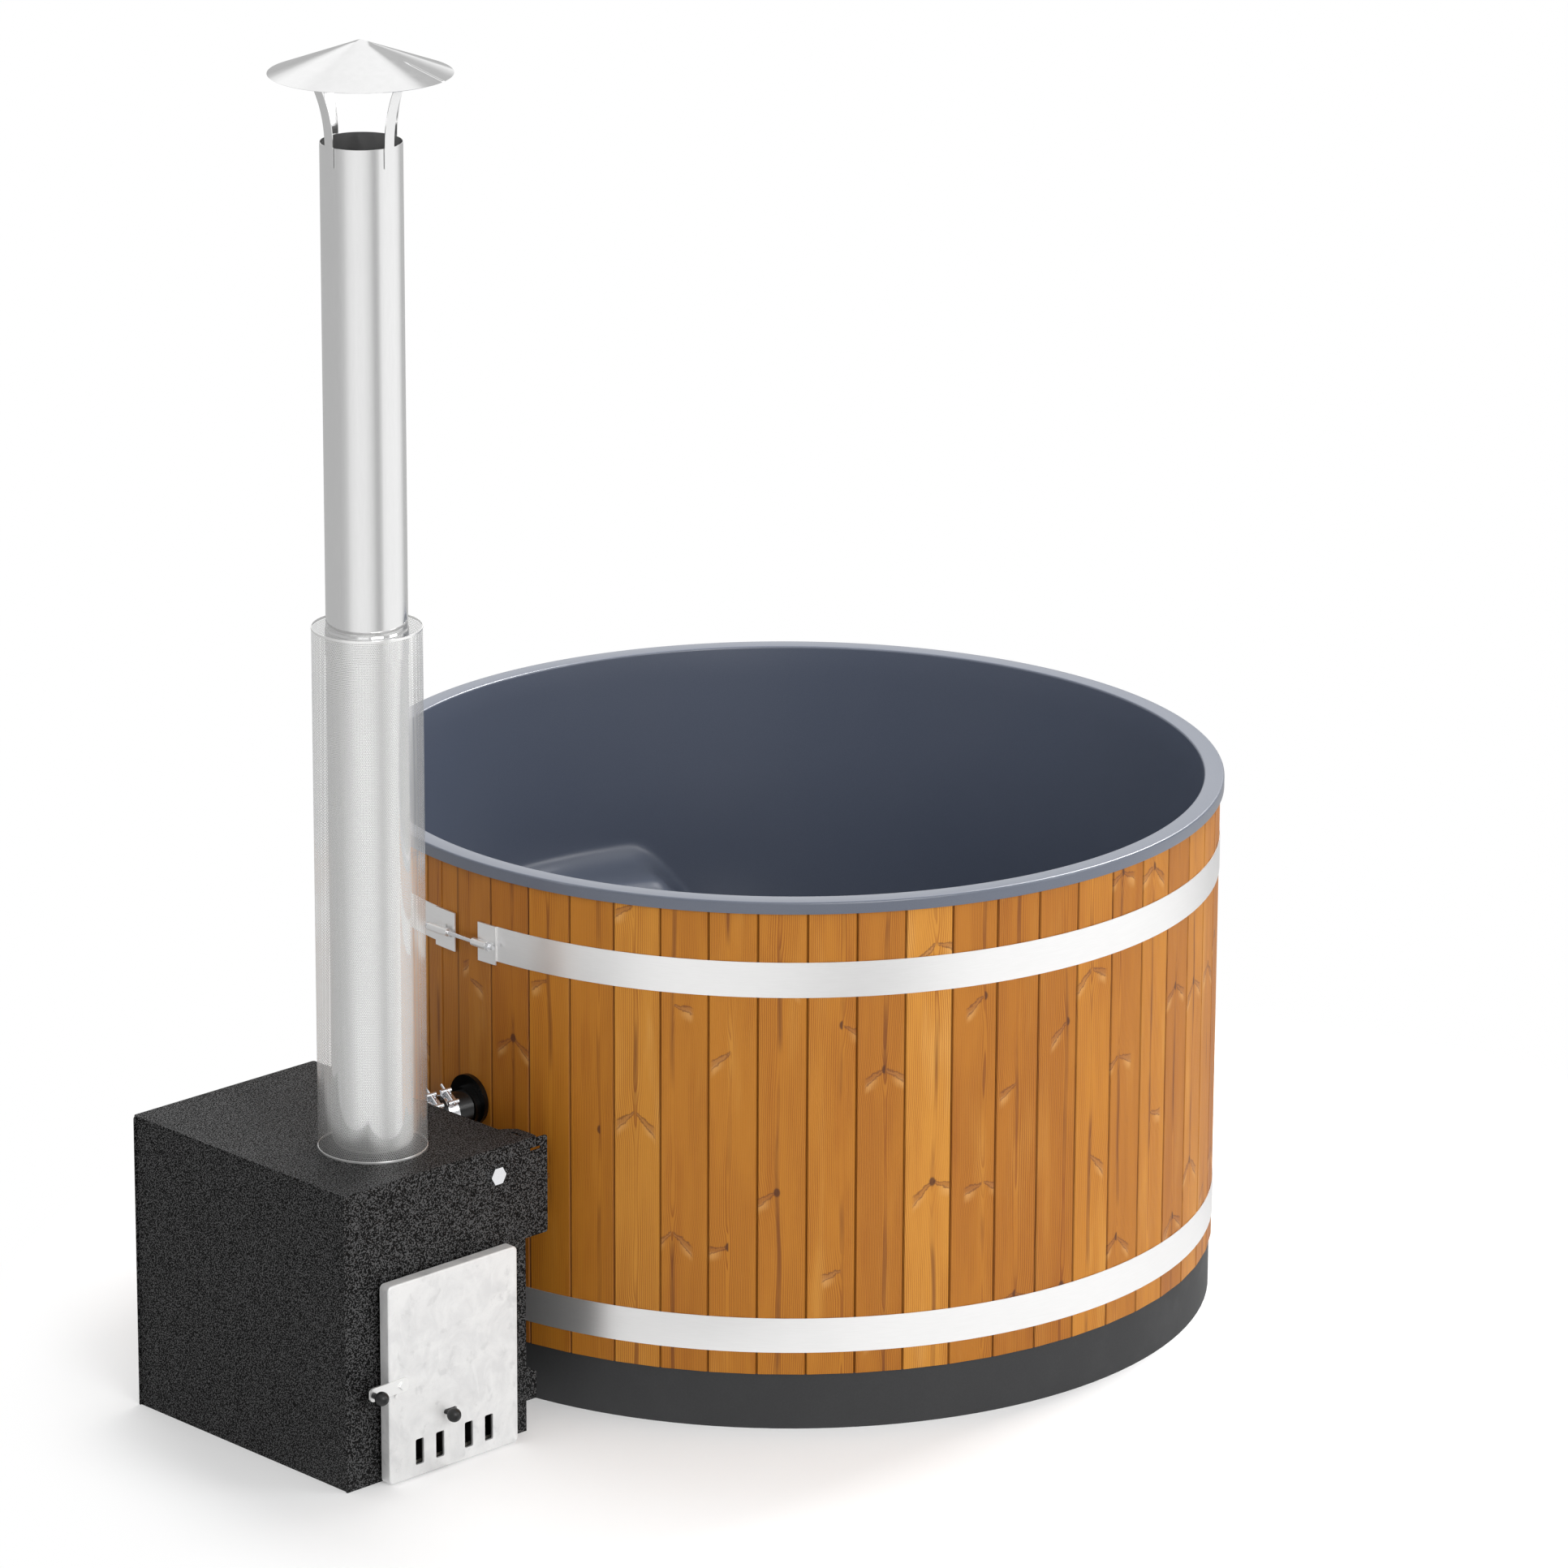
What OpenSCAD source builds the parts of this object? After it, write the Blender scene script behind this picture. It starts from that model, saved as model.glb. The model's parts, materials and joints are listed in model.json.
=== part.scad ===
// Wooden hot tub with an external wood-fired water heater, flue, guard and rain cap.
// Millimetres, +Z up. The origin is on the ground under the middle of the tub, +X points
// from the heater to the tub, and the fire door looks along -Y.
// The feature of most skill is the fire door: a pan with a sealing rib, hidden hinges, a turning
// latch and a sliding air damper whose windows line up with the slots in the door.

/* [Tub] */
// Distance from the middle of the tub to the flat outer face of a board
clad_r = 792; // [700:1:900]
// Height of the tub over its rim
tub_h = 992; // [850:1:1150]
// How far the rim stands out past the boards
rim_over = 8; // [5:0.5:20]
// Thickness of the rim's flange
rim_t = 4; // [3:0.5:8]
// Height of the lip that hangs from the rim
lip_h = 22; // [12:1:40]
// Wall of the lip
lip_t = 4; // [2:0.5:5]
// Wall of the moulded liner
liner_t = 6; // [4:0.5:10]
// Space between the liner and the boards
liner_gap = 2; // [1:0.5:10]
// Height of the bench over the ground
bench_z = 430; // [360:1:500]
// Width of the bench
bench_w = 315; // [250:1:400]
// Height of the footwell floor over the ground
floor_z = 120; // [100:1:160]
// Radius of the soft corners inside the liner
soft_r = 40; // [20:1:60]
// Height of the raised seat over the bench
seat_h = 167; // [100:1:220]
// Depth of the raised seat from the wall
seat_d = 200; // [150:1:260]
// Angle that the raised seat takes of the wall
seat_angle = 56; // [40:1:80]

/* [Boards] */
// Thickness of a board
board_t = 21; // [16:0.5:30]
// Board widths that go round the tub
board_count = 57; // [50:1:64]
// Direction of the joint beside the heater board
first_joint = -175.72; // [-176.5:0.01:-175]
// Width of the V groove between boards
groove_w = 5.5; // [3:0.5:8]
// Depth of the V groove
groove_d = 3; // [2:0.5:5]
// Length of a board's tongue
tongue_l = 5; // [3:0.5:8]
// Thickness of a board's tongue
tongue_t = 6; // [4:0.5:8]
// Height of the boards' lower ends over the ground
clad_foot = 105; // [90:1:140]

/* [Base] */
// Wall of the base ring
base_wall = 20; // [12:1:30]
// Set-back of the base ring from the boards' faces
base_inset = 3; // [1:0.5:10]
// Thickness of the base plate
base_floor = 12; // [8:1:20]
// Width of a floor joist
joist_w = 60; // [40:1:90]
// Number of floor joists
joist_count = 4; // [2:2:6]
// Spacing of the floor joists
joist_pitch = 200; // [160:1:230]

/* [Bands] */
// Height of a steel band
band_w = 65; // [40:1:80]
// Thickness of a steel band
band_t = 1; // [0.8:0.1:2]
// Distance from the rim down to the upper band's lower edge
upper_band_drop = 178; // [120:1:230]
// Distance from the boards' lower ends up to the lower band
lower_band_rise = 42; // [20:1:65]
// Open length between the ends of a band
band_gap = 64; // [50:1:74]
// Height of a lug plate
lug_h = 72; // [60:1:80]
// Length of the long lug plate
lug_l = 56; // [50:1:70]
// Length of the short lug plate
lug_short = 44; // [38:1:60]
// How far the tension rod lies under the band's middle
rod_drop = 3.5; // [0:0.5:3.5]
// Thickness of a lug plate
lug_t = 2.5; // [2:0.1:4]
// Outer radius of a lug's rolled barrel
barrel_r = 7.4; // [6.5:0.1:9]
// Length of the long lug's rolled barrel
barrel_l = 50; // [40:1:60]
// Length of the short lug's rolled barrel
barrel_short = 37; // [30:1:50]
// Radius of the tension rod
rod_r = 4; // [3:0.1:5]
// Length of the tension nut
nut_l = 8; // [6:0.5:14]
// Radius of the tension nut over its corners
nut_r = 8; // [7:0.5:9]

/* [Water pipes] */
// Height of the upper wall fitting
upper_port_z = 526.5; // [500:0.5:530]
// Height of the lower wall fitting
lower_port_z = 300; // [280:1:340]
// Sideways place of the wall fittings
port_y = -4; // [-10:1:10]
// Drop of a hose from the tub to the heater
hose_drop = 10; // [9:0.5:14]
// Sideways swing of a hose from the tub to the heater
hose_swing = 24; // [0:1:26]
// Outer radius of a hose
hose_r = 31; // [26:0.5:36]
// Wall of a hose
hose_wall = 3.6; // [2.5:0.1:5]
// Wall of the metal pipes
pipe_wall = 4; // [2:0.5:5]
// Radius of the wall flange
flange_r = 47; // [44:1:52]
// How far a flange's disc is set up from its pipe
flange_rise = 10; // [0:0.5:10]
// Thickness of the wall flange
flange_t = 9; // [6:0.5:12]
// Radius of the collar in front of a wall flange
collar_r = 36.5; // [34:0.5:40]
// Length of the collar in front of a wall flange
collar_l = 12; // [11:0.5:15]
// Length of the pipe tails inside a hose
tail_l = 26; // [20:1:30]
// Width of a hose clamp's band
clamp_w = 20; // [16:1:21]
// Spacing of the two clamps on a hose
clamp_pitch = 30; // [28:0.5:30]
// Radius of a clamp's bolt
clamp_bolt_r = 3; // [2.5:0.1:3.5]

/* [Drain] */
// Distance of the drain from the middle of the tub
drain_x = 250; // [150:1:330]
// Outer radius of the drain pipe
drain_r = 24; // [20:0.5:26]
// Outer radius of the drain pipe's free end
drain_end_r = 25; // [20.5:0.5:30]
// Wall of the drain pipe
drain_wall = 3; // [2:0.5:5]
// Height of the drain pipe's axis
drain_z = 45; // [40:1:60]
// How far the drain pipe stands out past the boards
drain_out = 28; // [15:1:60]
// Radius of the drain flange
drain_flange_r = 38; // [32:1:50]

/* [Heater] */
// Space between the boards and the heater's side
heater_gap = 99; // [90:1:125]
// Width of the heater
heater_w = 422; // [400:1:440]
// Depth of the heater
heater_d = 569; // [520:1:640]
// Distance from the tub's middle line to the heater's front
heater_front = 258; // [230:1:290]
// Height of the heater
heater_h = 552; // [535:1:600]
// Thickness of the heater's plates
plate_t = 3; // [2:0.5:5]
// Set-back of the sides behind the front and back plates
side_inset = 3; // [1:0.5:8]
// Water space at each side of the firebox
jacket_side = 38; // [25:1:45]
// Water space over the firebox
jacket_top = 69; // [66:1:90]
// Height of the firebox floor's underside
firebox_foot = 14; // [8:1:18]
// Wall of the firebox
firebox_wall = 4; // [3:0.5:6]
// Height of the grate
grate_z = 95; // [80:1:130]
// Number of grate bars
grate_bars = 9; // [6:1:12]
// Length of the upper ear on the front plate
ear_l = 53; // [30:1:60]
// Height of the upper ear
ear_h = 184; // [120:1:220]
// Length of the lower ear
foot_ear_l = 24; // [10:1:40]
// Length of the hump on the top plate
hump_l = 29; // [15:1:45]
// Radius of the heater plates' corners
plate_r = 5; // [3:0.5:8]
// Width across the flats of the port plug
plug_flats = 30; // [24:1:36]

/* [Fire door] */
// Width of the door
door_w = 301.5; // [290:0.5:310]
// Height of the door
door_h = 371; // [350:1:390]
// Depth of the door's pan
door_d = 22.6; // [20:0.1:26]
// Space between the door and the front plate
door_gap = 9.4; // [8.8:0.1:12]
// Height of the door's lower edge
door_z = 3; // [2:0.5:6]
// Distance from the heater's left edge to the door
door_side = 71.7; // [68:0.1:76]
// Thickness of the door's front wall
door_wall = 5; // [4:0.5:6]
// Thickness of the door's rim
door_rim = 4; // [3:0.5:5]
// Radius of the door's corners
door_r = 9; // [7:0.5:14]
// Radius of the door's soft front edge
door_edge = 3; // [1.5:0.5:4]
// Width of an air slot
slot_w = 19.1; // [15:0.1:20]
// Height of an air slot
slot_h = 48.2; // [40:0.1:60]
// Height of the air slots' lower ends over the door's edge
slot_foot = 22.2; // [21:0.1:26]
// Spacing of two neighbouring slots
slot_pitch = 47.6; // [46:0.1:50]
// Radius of an air slot's corners
slot_r = 3; // [1:0.5:5]
// Spacing of the two pairs of slots
pair_pitch = 115; // [110:0.1:118]
// Radius of a hinge pin
hinge_pin_r = 3; // [2:0.1:3.5]
// Radius of a door knob
knob_r = 12.8; // [10:0.1:16]

/* [Latch] */
// Length of the latch bar
latch_l = 88.5; // [80:0.5:95]
// Height of the latch bar
latch_h = 25; // [18:0.5:28]
// Thickness of the latch bar
latch_t = 3.5; // [3:0.1:5]
// Height of the latch pivot over the door's lower edge
latch_up = 182.5; // [150:0.5:220]
// Distance from the door's left edge to the latch pivot
latch_in = 26; // [22:0.5:32]
// Length of the bar past its pivot
latch_tail = 15.4; // [13:0.1:18]
// Radius of the latch pivot
pivot_r = 4; // [3:0.1:5]

/* [Flue] */
// Distance from the heater's left edge to the flue's axis
flue_side = 207.5; // [190:0.5:220]
// Distance from the heater's front to the flue's axis
flue_in = 160.5; // [140:0.5:200]
// Outer radius of the flue pipe
flue_r = 71; // [60:0.5:75]
// Wall of the lower flue pipe
flue_wall = 2; // [1.5:0.1:3]
// Wall of the upper flue pipe
flue_skin = 1; // [0.8:0.1:1.4]
// Height of the flue pipe's mouth
flue_top = 2357; // [2000:1:2600]
// Height of the joint between the two pipes
flue_joint = 1500; // [1300:1:1600]
// Length of the upper pipe's socket
socket_l = 45; // [30:1:60]
// Outer radius of the guard sleeve
guard_r = 97; // [90:0.5:110]
// Wall of the guard sleeve
guard_t = 1.5; // [1:0.1:2]
// Length of the guard sleeve
guard_l = 952; // [700:1:1100]
// Radius of the rain cap
cap_r = 158; // [140:1:190]
// Height of the rain cap's cone
cap_h = 58; // [40:1:80]
// Height of the rain cap's rim over the pipe's mouth
cap_gap = 118; // [90:1:150]
// Thickness of the rain cap's sheet
cap_t = 1; // [0.8:0.1:2]
// Width of a cap leg
leg_w = 21; // [14:0.5:28]
// Thickness of a cap leg
leg_t = 1.5; // [1:0.1:2.5]
// How far a cap leg reaches down past the pipe's mouth
leg_grip = 35; // [20:1:60]

/* [Hidden] */
$fn = 96;
// Overrun of every cut
over = 1;
// Clearances: seated pieces, running pieces, turning pins, and passages
seat = 0.1;
run = 0.3;
pin_fit = 0.08;
pass = 0.5;
// Points of an arc in a turned profile
arc_points = 6;

// Directions of the boards: whole boards first, then the narrow and the wide one at the heater
pitch = 360 / board_count;
wide_share = 1.5;
wide_end = first_joint - wide_share * pitch;
corner_r = clad_r / cos(pitch / 2);
board_in = corner_r - board_t;
board_joint = 0.4;
wide_half = wide_share * pitch / 2;
wide_tilt = first_joint - wide_half + 180;
clad_top = tub_h - rim_t;

// Liner radii, from the outside in
liner_out = board_in * cos(wide_half) - liner_gap / 4;
liner_r = liner_out - liner_t;
rim_r = clad_r + rim_over;
well_r = liner_r - bench_w;
seat_z = bench_z + seat_h;

base_r = clad_r - base_inset;
base_in = base_r - base_wall;
band_r = corner_r + seat;
lug_r = band_r + band_t + seat;
barrel_x = lug_r + lug_t + barrel_r;

// Walls that the water pipes pass
pipe_in = hose_r - hose_wall - seat;
bore_r = pipe_in - pipe_wall;
port_r = bore_r + pipe_wall - seat;
port_hole = port_r + pass;
wide_face = corner_r * cos(wide_half) + groove_w / 2 * sin(wide_half);
wall_x = (wide_face + (flange_r + abs(port_y)) * sin(abs(wide_tilt))) / cos(wide_tilt) + seat;
flange_x = wall_x + flange_t;
collar_x = flange_x + collar_l;
inner_flange_share = 0.85;
inner_flange_r = flange_r * inner_flange_share;

// Heights of the bands' lower edges
upper_band_z = tub_h - upper_band_drop;
lower_band_z = clad_foot + lower_band_rise;

// Heater box
heater_x = clad_r + heater_gap + heater_w / 2;
left_x = -heater_x - heater_w / 2;
right_x = -heater_x + heater_w / 2;
front_y = -heater_front;
back_y = front_y + heater_d;
side_l = left_x + side_inset;
side_r = right_x - side_inset;
top_z = heater_h - plate_t;
hose_run = -collar_x - side_r;
hose_l = norm([hose_run, hose_swing, hose_drop]);
hose_turn = [0, acos(-hose_drop / hose_l), atan2(hose_swing, -hose_run)];
box_l = side_l + plate_t + jacket_side;
box_r = side_r - plate_t - jacket_side;
box_front = front_y + plate_t;
box_back = back_y - plate_t - jacket_side;
box_top = top_z - jacket_top;
ledge_w = 12;
ledge_t = 8;
grate_t = 8;
grate_bar_w = 12;

// Fire door
door_l = left_x + door_side;
door_rt = door_l + door_w;
door_back = front_y - door_gap;
door_face = door_back - door_d;
wall_back = door_face + door_wall;
door_mid = door_l + door_w / 2;
hinge_edge = 8;
hinge_x = door_rt - hinge_edge;
hinge_y = wall_back + hinge_edge;
hinge_share = [0.17, 0.85];
lug_hinge_t = 10;
boss_l = 13;
boss_r = 6;
bracket_r = 5.5;
frame_w = 8;
frame_t = 4;
seal_t = 8;
// Edges of the door opening in the front plate
open_side = 25.5;
open_hinge_side = 28;
open_low = 17;
open_high = 22;
open_l = door_l + open_side;
open_r = hinge_x - open_hinge_side;
open_foot = door_z + open_low;
open_top = door_z + door_h - open_high;
rib_t = 4;
rib_in = frame_w / 2 - rib_t / 2;

slot_offsets = [for (pair = [-1, 1]) for (one = [-1, 1])
    pair * pair_pitch / 2 + one * slot_pitch / 2];
damper_lap = 2.4;
damper_travel = slot_w + damper_lap;
damper_t = 2.5;
damper_low = 2.7;
damper_foot = door_z + slot_foot - damper_low;
damper_over = 2.5;
window_pass = 0.8;
guide_h = 4;
guide_lip = 2.2;
knob_stem_r = 4;
knob_hole_r = knob_stem_r + pass;
knob_up = 104;
damper_high = 11;
damper_top = door_z + knob_up + damper_high;
knob_side = 20;
knob_out = 22;

latch_z = door_z + latch_up;
latch_x = door_l + latch_in;
latch_face = door_face - run;
latch_end_r = 8;
latch_knob_in = 7.5;

flue_x = left_x + flue_side;
flue_y = front_y + flue_in;
spigot_r = flue_r - flue_wall - pass;
spigot_wall = 2.6;
spigot_up = 90;
spigot_flange = 12.5;

// Points of a circular arc round c
function arc(c, r, a0, a1, n = arc_points) =
    [for (i = [0:n]) c + r * [cos(a0 + (a1 - a0) * i / n), sin(a0 + (a1 - a0) * i / n)]];

// A rectangle with round corners, its lower left corner at the origin
module round_rect(w, h, r) {
    translate([r, 0]) square([w - 2 * r, h]);
    translate([0, r]) square([w, h - 2 * r]);
    for (x = [r, w - r]) for (y = [r, h - r]) translate([x, y]) circle(r, $fn = 32);
}

// A slot with half-round ends along X or Y, its lower left corner at the origin
module slot_shape(w, h) {
    r = min(w, h) / 2;
    for (p = [[r, r], [w - r, h - r]]) translate(p) circle(r, $fn = 32);
    if (w > h) translate([r, 0]) square([w - 2 * r, h]);
    if (h > w) translate([0, r]) square([w, h - 2 * r]);
}

// Stands a drawing of the XZ plane up, from y0 towards +Y
module upright(y0, t) {
    translate([0, y0 + t, 0]) rotate([90, 0, 0]) linear_extrude(t) children();
}

// A cylinder along +X or +Y from a point
module rod_x(p, r, l, fn = 96) {
    translate(p) rotate([0, 90, 0]) cylinder(r = r, h = l, $fn = fn);
}

module rod_y(p, r, l, fn = 96) {
    translate(p) rotate([-90, 0, 0]) cylinder(r = r, h = l, $fn = fn);
}

// Outline of the liner's shell from the floor's middle to the lip and back underneath
liner_outline = concat(
    [[0, floor_z]],
    arc([well_r - soft_r, floor_z + soft_r], soft_r, -90, 0),
    arc([well_r + soft_r, bench_z - soft_r], soft_r, 180, 90),
    arc([liner_r - soft_r, bench_z + soft_r], soft_r, -90, 0),
    arc([liner_r + rim_t, tub_h - rim_t], rim_t, 180, 90),
    arc([rim_r - rim_t, tub_h - rim_t], rim_t, 90, 0),
    [[rim_r, tub_h - lip_h], [rim_r - lip_t, tub_h - lip_h], [rim_r - lip_t, clad_top],
        [liner_out, clad_top]],
    arc([liner_r - soft_r, bench_z + soft_r], soft_r + liner_t, 0, -90),
    arc([well_r + soft_r, bench_z - soft_r], soft_r - liner_t, 90, 180),
    arc([well_r - soft_r, floor_z + soft_r], soft_r + liner_t, 0, -90),
    [[0, floor_z - liner_t]]);

// Outline of the raised seat, with its ends inside the liner's wall and bench
seat_outline = concat(
    [[liner_r - seat_d, bench_z - liner_t / 2]],
    arc([liner_r - seat_d + soft_r, seat_z - soft_r], soft_r, 180, 90),
    arc([liner_r - soft_r + seat, seat_z + soft_r], soft_r, -90, 0),
    [[liner_r + liner_t / 2, seat_z + soft_r], [liner_r + liner_t / 2, bench_z - liner_t / 2]]);

// Outline of the hollow under the raised seat, open below
seat_hollow = concat(
    [[liner_r - seat_d + liner_t, bench_z - liner_t - over]],
    arc([liner_r - seat_d + soft_r, seat_z - soft_r], soft_r - liner_t, 180, 90),
    [[liner_r - soft_r - liner_t, seat_z - liner_t],
        [liner_r - soft_r - liner_t, bench_z - liner_t - over]]);

module liner() {
    hollow_turn = liner_t / (liner_r - seat_d) * 180 / PI;
    color([0.25, 0.28, 0.33]) difference() {
        union() {
            rotate_extrude($fn = 180) polygon(liner_outline);
            rotate([0, 0, 90 - seat_angle / 2])
                rotate_extrude(angle = seat_angle, $fn = 180) polygon(seat_outline);
        }
        rotate([0, 0, 90 - seat_angle / 2 + hollow_turn])
            rotate_extrude(angle = seat_angle - 2 * hollow_turn, $fn = 180)
                polygon(seat_hollow);
        rod_x([-liner_out - over, port_y, upper_port_z], port_hole, 2 * liner_t + 2 * over);
        rod_x([-well_r - liner_t - over, port_y, lower_port_z], port_hole,
            2 * liner_t + 2 * over);
        translate([drain_x, 0, floor_z - liner_t - over])
            cylinder(r = drain_r - drain_wall + pass, h = liner_t + 2 * over);
    }
}

// One board between two joints: tongue towards a1, slot towards a0, chamfered for the V grooves
module board(a0, a1) {
    half = (a1 - a0) / 2;
    mid_r = (corner_r + board_in) / 2;
    t0 = mid_r - tongue_t / 2;
    t1 = mid_r + tongue_t / 2;
    function at(rho, s, off) =
        [s * (rho * sin(half) - off * cos(half)), rho * cos(half) + off * sin(half)];
    rotate([0, 0, (a0 + a1) / 2 - 90]) translate([0, 0, clad_foot])
        linear_extrude(clad_top - clad_foot) polygon([
            at(board_in, 1, board_joint / 2), at(board_in, -1, board_joint / 2),
            at(t0, -1, board_joint / 2), at(t0, -1, -tongue_l),
            at(t1, -1, -tongue_l), at(t1, -1, board_joint / 2),
            at(corner_r - groove_d, -1, board_joint / 2), at(corner_r, -1, groove_w / 2),
            at(corner_r, 1, groove_w / 2), at(corner_r - groove_d, 1, board_joint / 2),
            at(t1 + run, 1, board_joint / 2), at(t1 + run, 1, tongue_l + run),
            at(t0 - run, 1, tongue_l + run), at(t0 - run, 1, board_joint / 2)]);
}

module wall_staves() {
    color([0.68, 0.42, 0.18]) {
        for (k = [0:board_count - 3])
            board(first_joint + k * pitch, first_joint + (k + 1) * pitch);
        board(wide_end - pitch / 2, wide_end);
    }
}

// The wide board towards the heater, bored for both wall fittings
module port_stave() {
    color([0.68, 0.42, 0.18]) difference() {
        board(wide_end, first_joint);
        for (z = [upper_port_z, lower_port_z])
            rod_x([-corner_r - over, port_y, z], port_hole, board_t + 4 * over);
    }
}

module base_pan() {
    color([0.2, 0.2, 0.2]) difference() {
        cylinder(r = base_r, h = clad_foot, $fn = 180);
        translate([0, 0, base_floor]) cylinder(r = base_in, h = clad_foot, $fn = 180);
        rod_x([base_in - base_wall, 0, drain_z], drain_r + pass, 2 * base_wall + over);
    }
}

module floor_joists() {
    color([0.72, 0.55, 0.35]) for (i = [0:joist_count - 1]) {
        y = (i - (joist_count - 1) / 2) * joist_pitch;
        reach = sqrt(pow(well_r - soft_r, 2) - pow(abs(y) + joist_w / 2, 2));
        translate([-reach, y - joist_w / 2, base_floor])
            cube([2 * reach, joist_w, floor_z - liner_t - base_floor]);
    }
}

// A steel band, open where its two ends are drawn together
module band(z) {
    half_gap = asin(band_gap / 2 / band_r);
    rotate([0, 0, 180 + half_gap]) rotate_extrude(angle = 360 - 2 * half_gap, $fn = 180)
        translate([band_r, z]) square([band_t, band_w]);
}

module upper_band() { color([0.8, 0.8, 0.8]) band(upper_band_z); }
module lower_band() { color([0.8, 0.8, 0.8]) band(lower_band_z); }

// Edges of the lug plates, the barrels and the window beside the long barrel, from the gap
lug_in = 1.5;
lug_edge = band_gap / 2 - lug_in;
barrel_in = 9;
barrel_past = 3.5;
barrel_start = lug_edge + barrel_in;
short_start = barrel_past - lug_edge - barrel_short;
window_in = 8;
window_l = 18;
window_h = 22;
web_start = barrel_start + window_l;

// Lug on one band end: a plate with a rolled barrel for the rod; s is its side of the gap
module lug(z, s) {
    l = s > 0 ? lug_l : lug_short;
    turn = l / lug_r * 180 / PI;
    start = lug_edge / lug_r * 180 / PI;
    y0 = s > 0 ? barrel_start : short_start;
    bl = s > 0 ? barrel_l : barrel_short;
    web_y = s > 0 ? web_start : short_start;
    web_l = s > 0 ? barrel_start + barrel_l - web_start : -lug_edge - short_start;
    difference() {
        union() {
            difference() {
                rotate([0, 0, s > 0 ? 180 - start - turn : 180 + start])
                    rotate_extrude(angle = turn, $fn = 180)
                        translate([lug_r, z - lug_h / 2]) square([lug_t, lug_h]);
                if (s > 0) translate([-lug_r - 2 * lug_t, lug_edge + window_in, z - window_h / 2])
                    cube([4 * lug_t, window_l, window_h]);
            }
            rod_y([-barrel_x, y0, z], barrel_r, bl);
            difference() {
                translate([-barrel_x, web_y, z - barrel_r / 2])
                    cube([2 * barrel_r, web_l, barrel_r]);
                cylinder(r = lug_r + lug_t / 2, h = tub_h, $fn = 180);
            }
        }
        rod_y([-barrel_x, y0 - over, z], rod_r + run, bl + 2 * over);
    }
}

// Heights of the two rods
rod_zs = [for (z = [upper_band_z, lower_band_z]) z + band_w / 2 - rod_drop];

module band_lugs() {
    color([0.75, 0.75, 0.75]) for (z = rod_zs) for (s = [1, -1]) lug(z, s);
}

rod_head_r = 6.5;
rod_head_l = 6;
rod_past = 9;

module tension_rods() {
    y0 = short_start - nut_l - rod_past;
    y1 = barrel_start + barrel_l;
    color([0.7, 0.7, 0.7]) for (z = rod_zs) {
        rod_y([-barrel_x, y0, z], rod_r, y1 - y0 + rod_head_l / 2);
        rod_y([-barrel_x, y1, z], rod_head_r, rod_head_l);
    }
}

module tension_nuts() {
    color([0.8, 0.8, 0.8]) for (z = rod_zs) difference() {
        rod_y([-barrel_x, short_start - nut_l, z], nut_r, nut_l, 6);
        rod_y([-barrel_x, short_start - nut_l - over, z], rod_r + seat, nut_l + 2 * over);
    }
}

// Moves along a hose's line, from the face of its collar towards the heater
module on_hose(z, along = 0) {
    translate([-collar_x, port_y, z]) rotate(hose_turn) translate([0, 0, along]) children();
}

// Wall that a collar keeps in front of the pipe's seat
collar_lip = 4;

// A wall flange, its collar and the sloping tail that the hose is pushed on
module wall_flange(z) {
    difference() {
        union() {
            rod_x([-flange_x, port_y, z + flange_rise], flange_r, flange_t);
            rod_x([-collar_x, port_y, z], collar_r, collar_l + flange_t / 2);
            on_hose(z, -collar_l) cylinder(r = pipe_in, h = tail_l + collar_l);
        }
        on_hose(z, -collar_l) cylinder(r = bore_r, h = tail_l + collar_l + over);
        rod_x([-collar_x + collar_lip, port_y, z], port_r + seat, collar_l + flange_t);
    }
}

module wall_flanges() {
    color([0.08, 0.08, 0.08]) for (z = [upper_port_z, lower_port_z]) wall_flange(z);
}

// A pipe from inside the tub to a wall flange, with a flat flange at the liner
module wall_fitting(z, wall_r) {
    face = sqrt(pow(wall_r, 2) - pow(inner_flange_r + abs(port_y), 2)) - seat;
    end = wall_x + flange_t / 2;
    difference() {
        union() {
            rod_x([-end, port_y, z], port_r, end - face + flange_t / 2);
            rod_x([-face, port_y, z], inner_flange_r, flange_t / 2);
        }
        rod_x([-end - over, port_y, z], bore_r, end - face + flange_t + 2 * over);
    }
}

module return_fitting() { color([0.85, 0.85, 0.85]) wall_fitting(upper_port_z, liner_r); }
module suction_fitting() { color([0.85, 0.85, 0.85]) wall_fitting(lower_port_z, well_r); }

// A hose between the collar at the tub and the heater's side
module hose(z) {
    intersection() {
        difference() {
            on_hose(z, -hose_r) cylinder(r = hose_r, h = hose_l + 2 * hose_r);
            on_hose(z, -2 * hose_r) cylinder(r = hose_r - hose_wall, h = hose_l + 4 * hose_r);
        }
        translate([side_r, port_y - 2 * hose_r, 0]) cube([hose_run, 5 * hose_r, tub_h]);
    }
}

module hose_upper() { color([0.35, 0.35, 0.35]) hose(upper_port_z); }
module hose_lower() { color([0.35, 0.35, 0.35]) hose(lower_port_z); }

// Place of a hose's first clamp, and the clamp's band, bolt and cross pins
clamp_first = 28.5;
clamp_t = 1.2;
clamp_bolt_up = 36.6;
clamp_bolt_turn = 155.7;
clamp_bolt_ends = [-23, 32];
clamp_pins = [-15.5, 15.5];
clamp_pin_r = 4.2;
clamp_web_t = 3;

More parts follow.
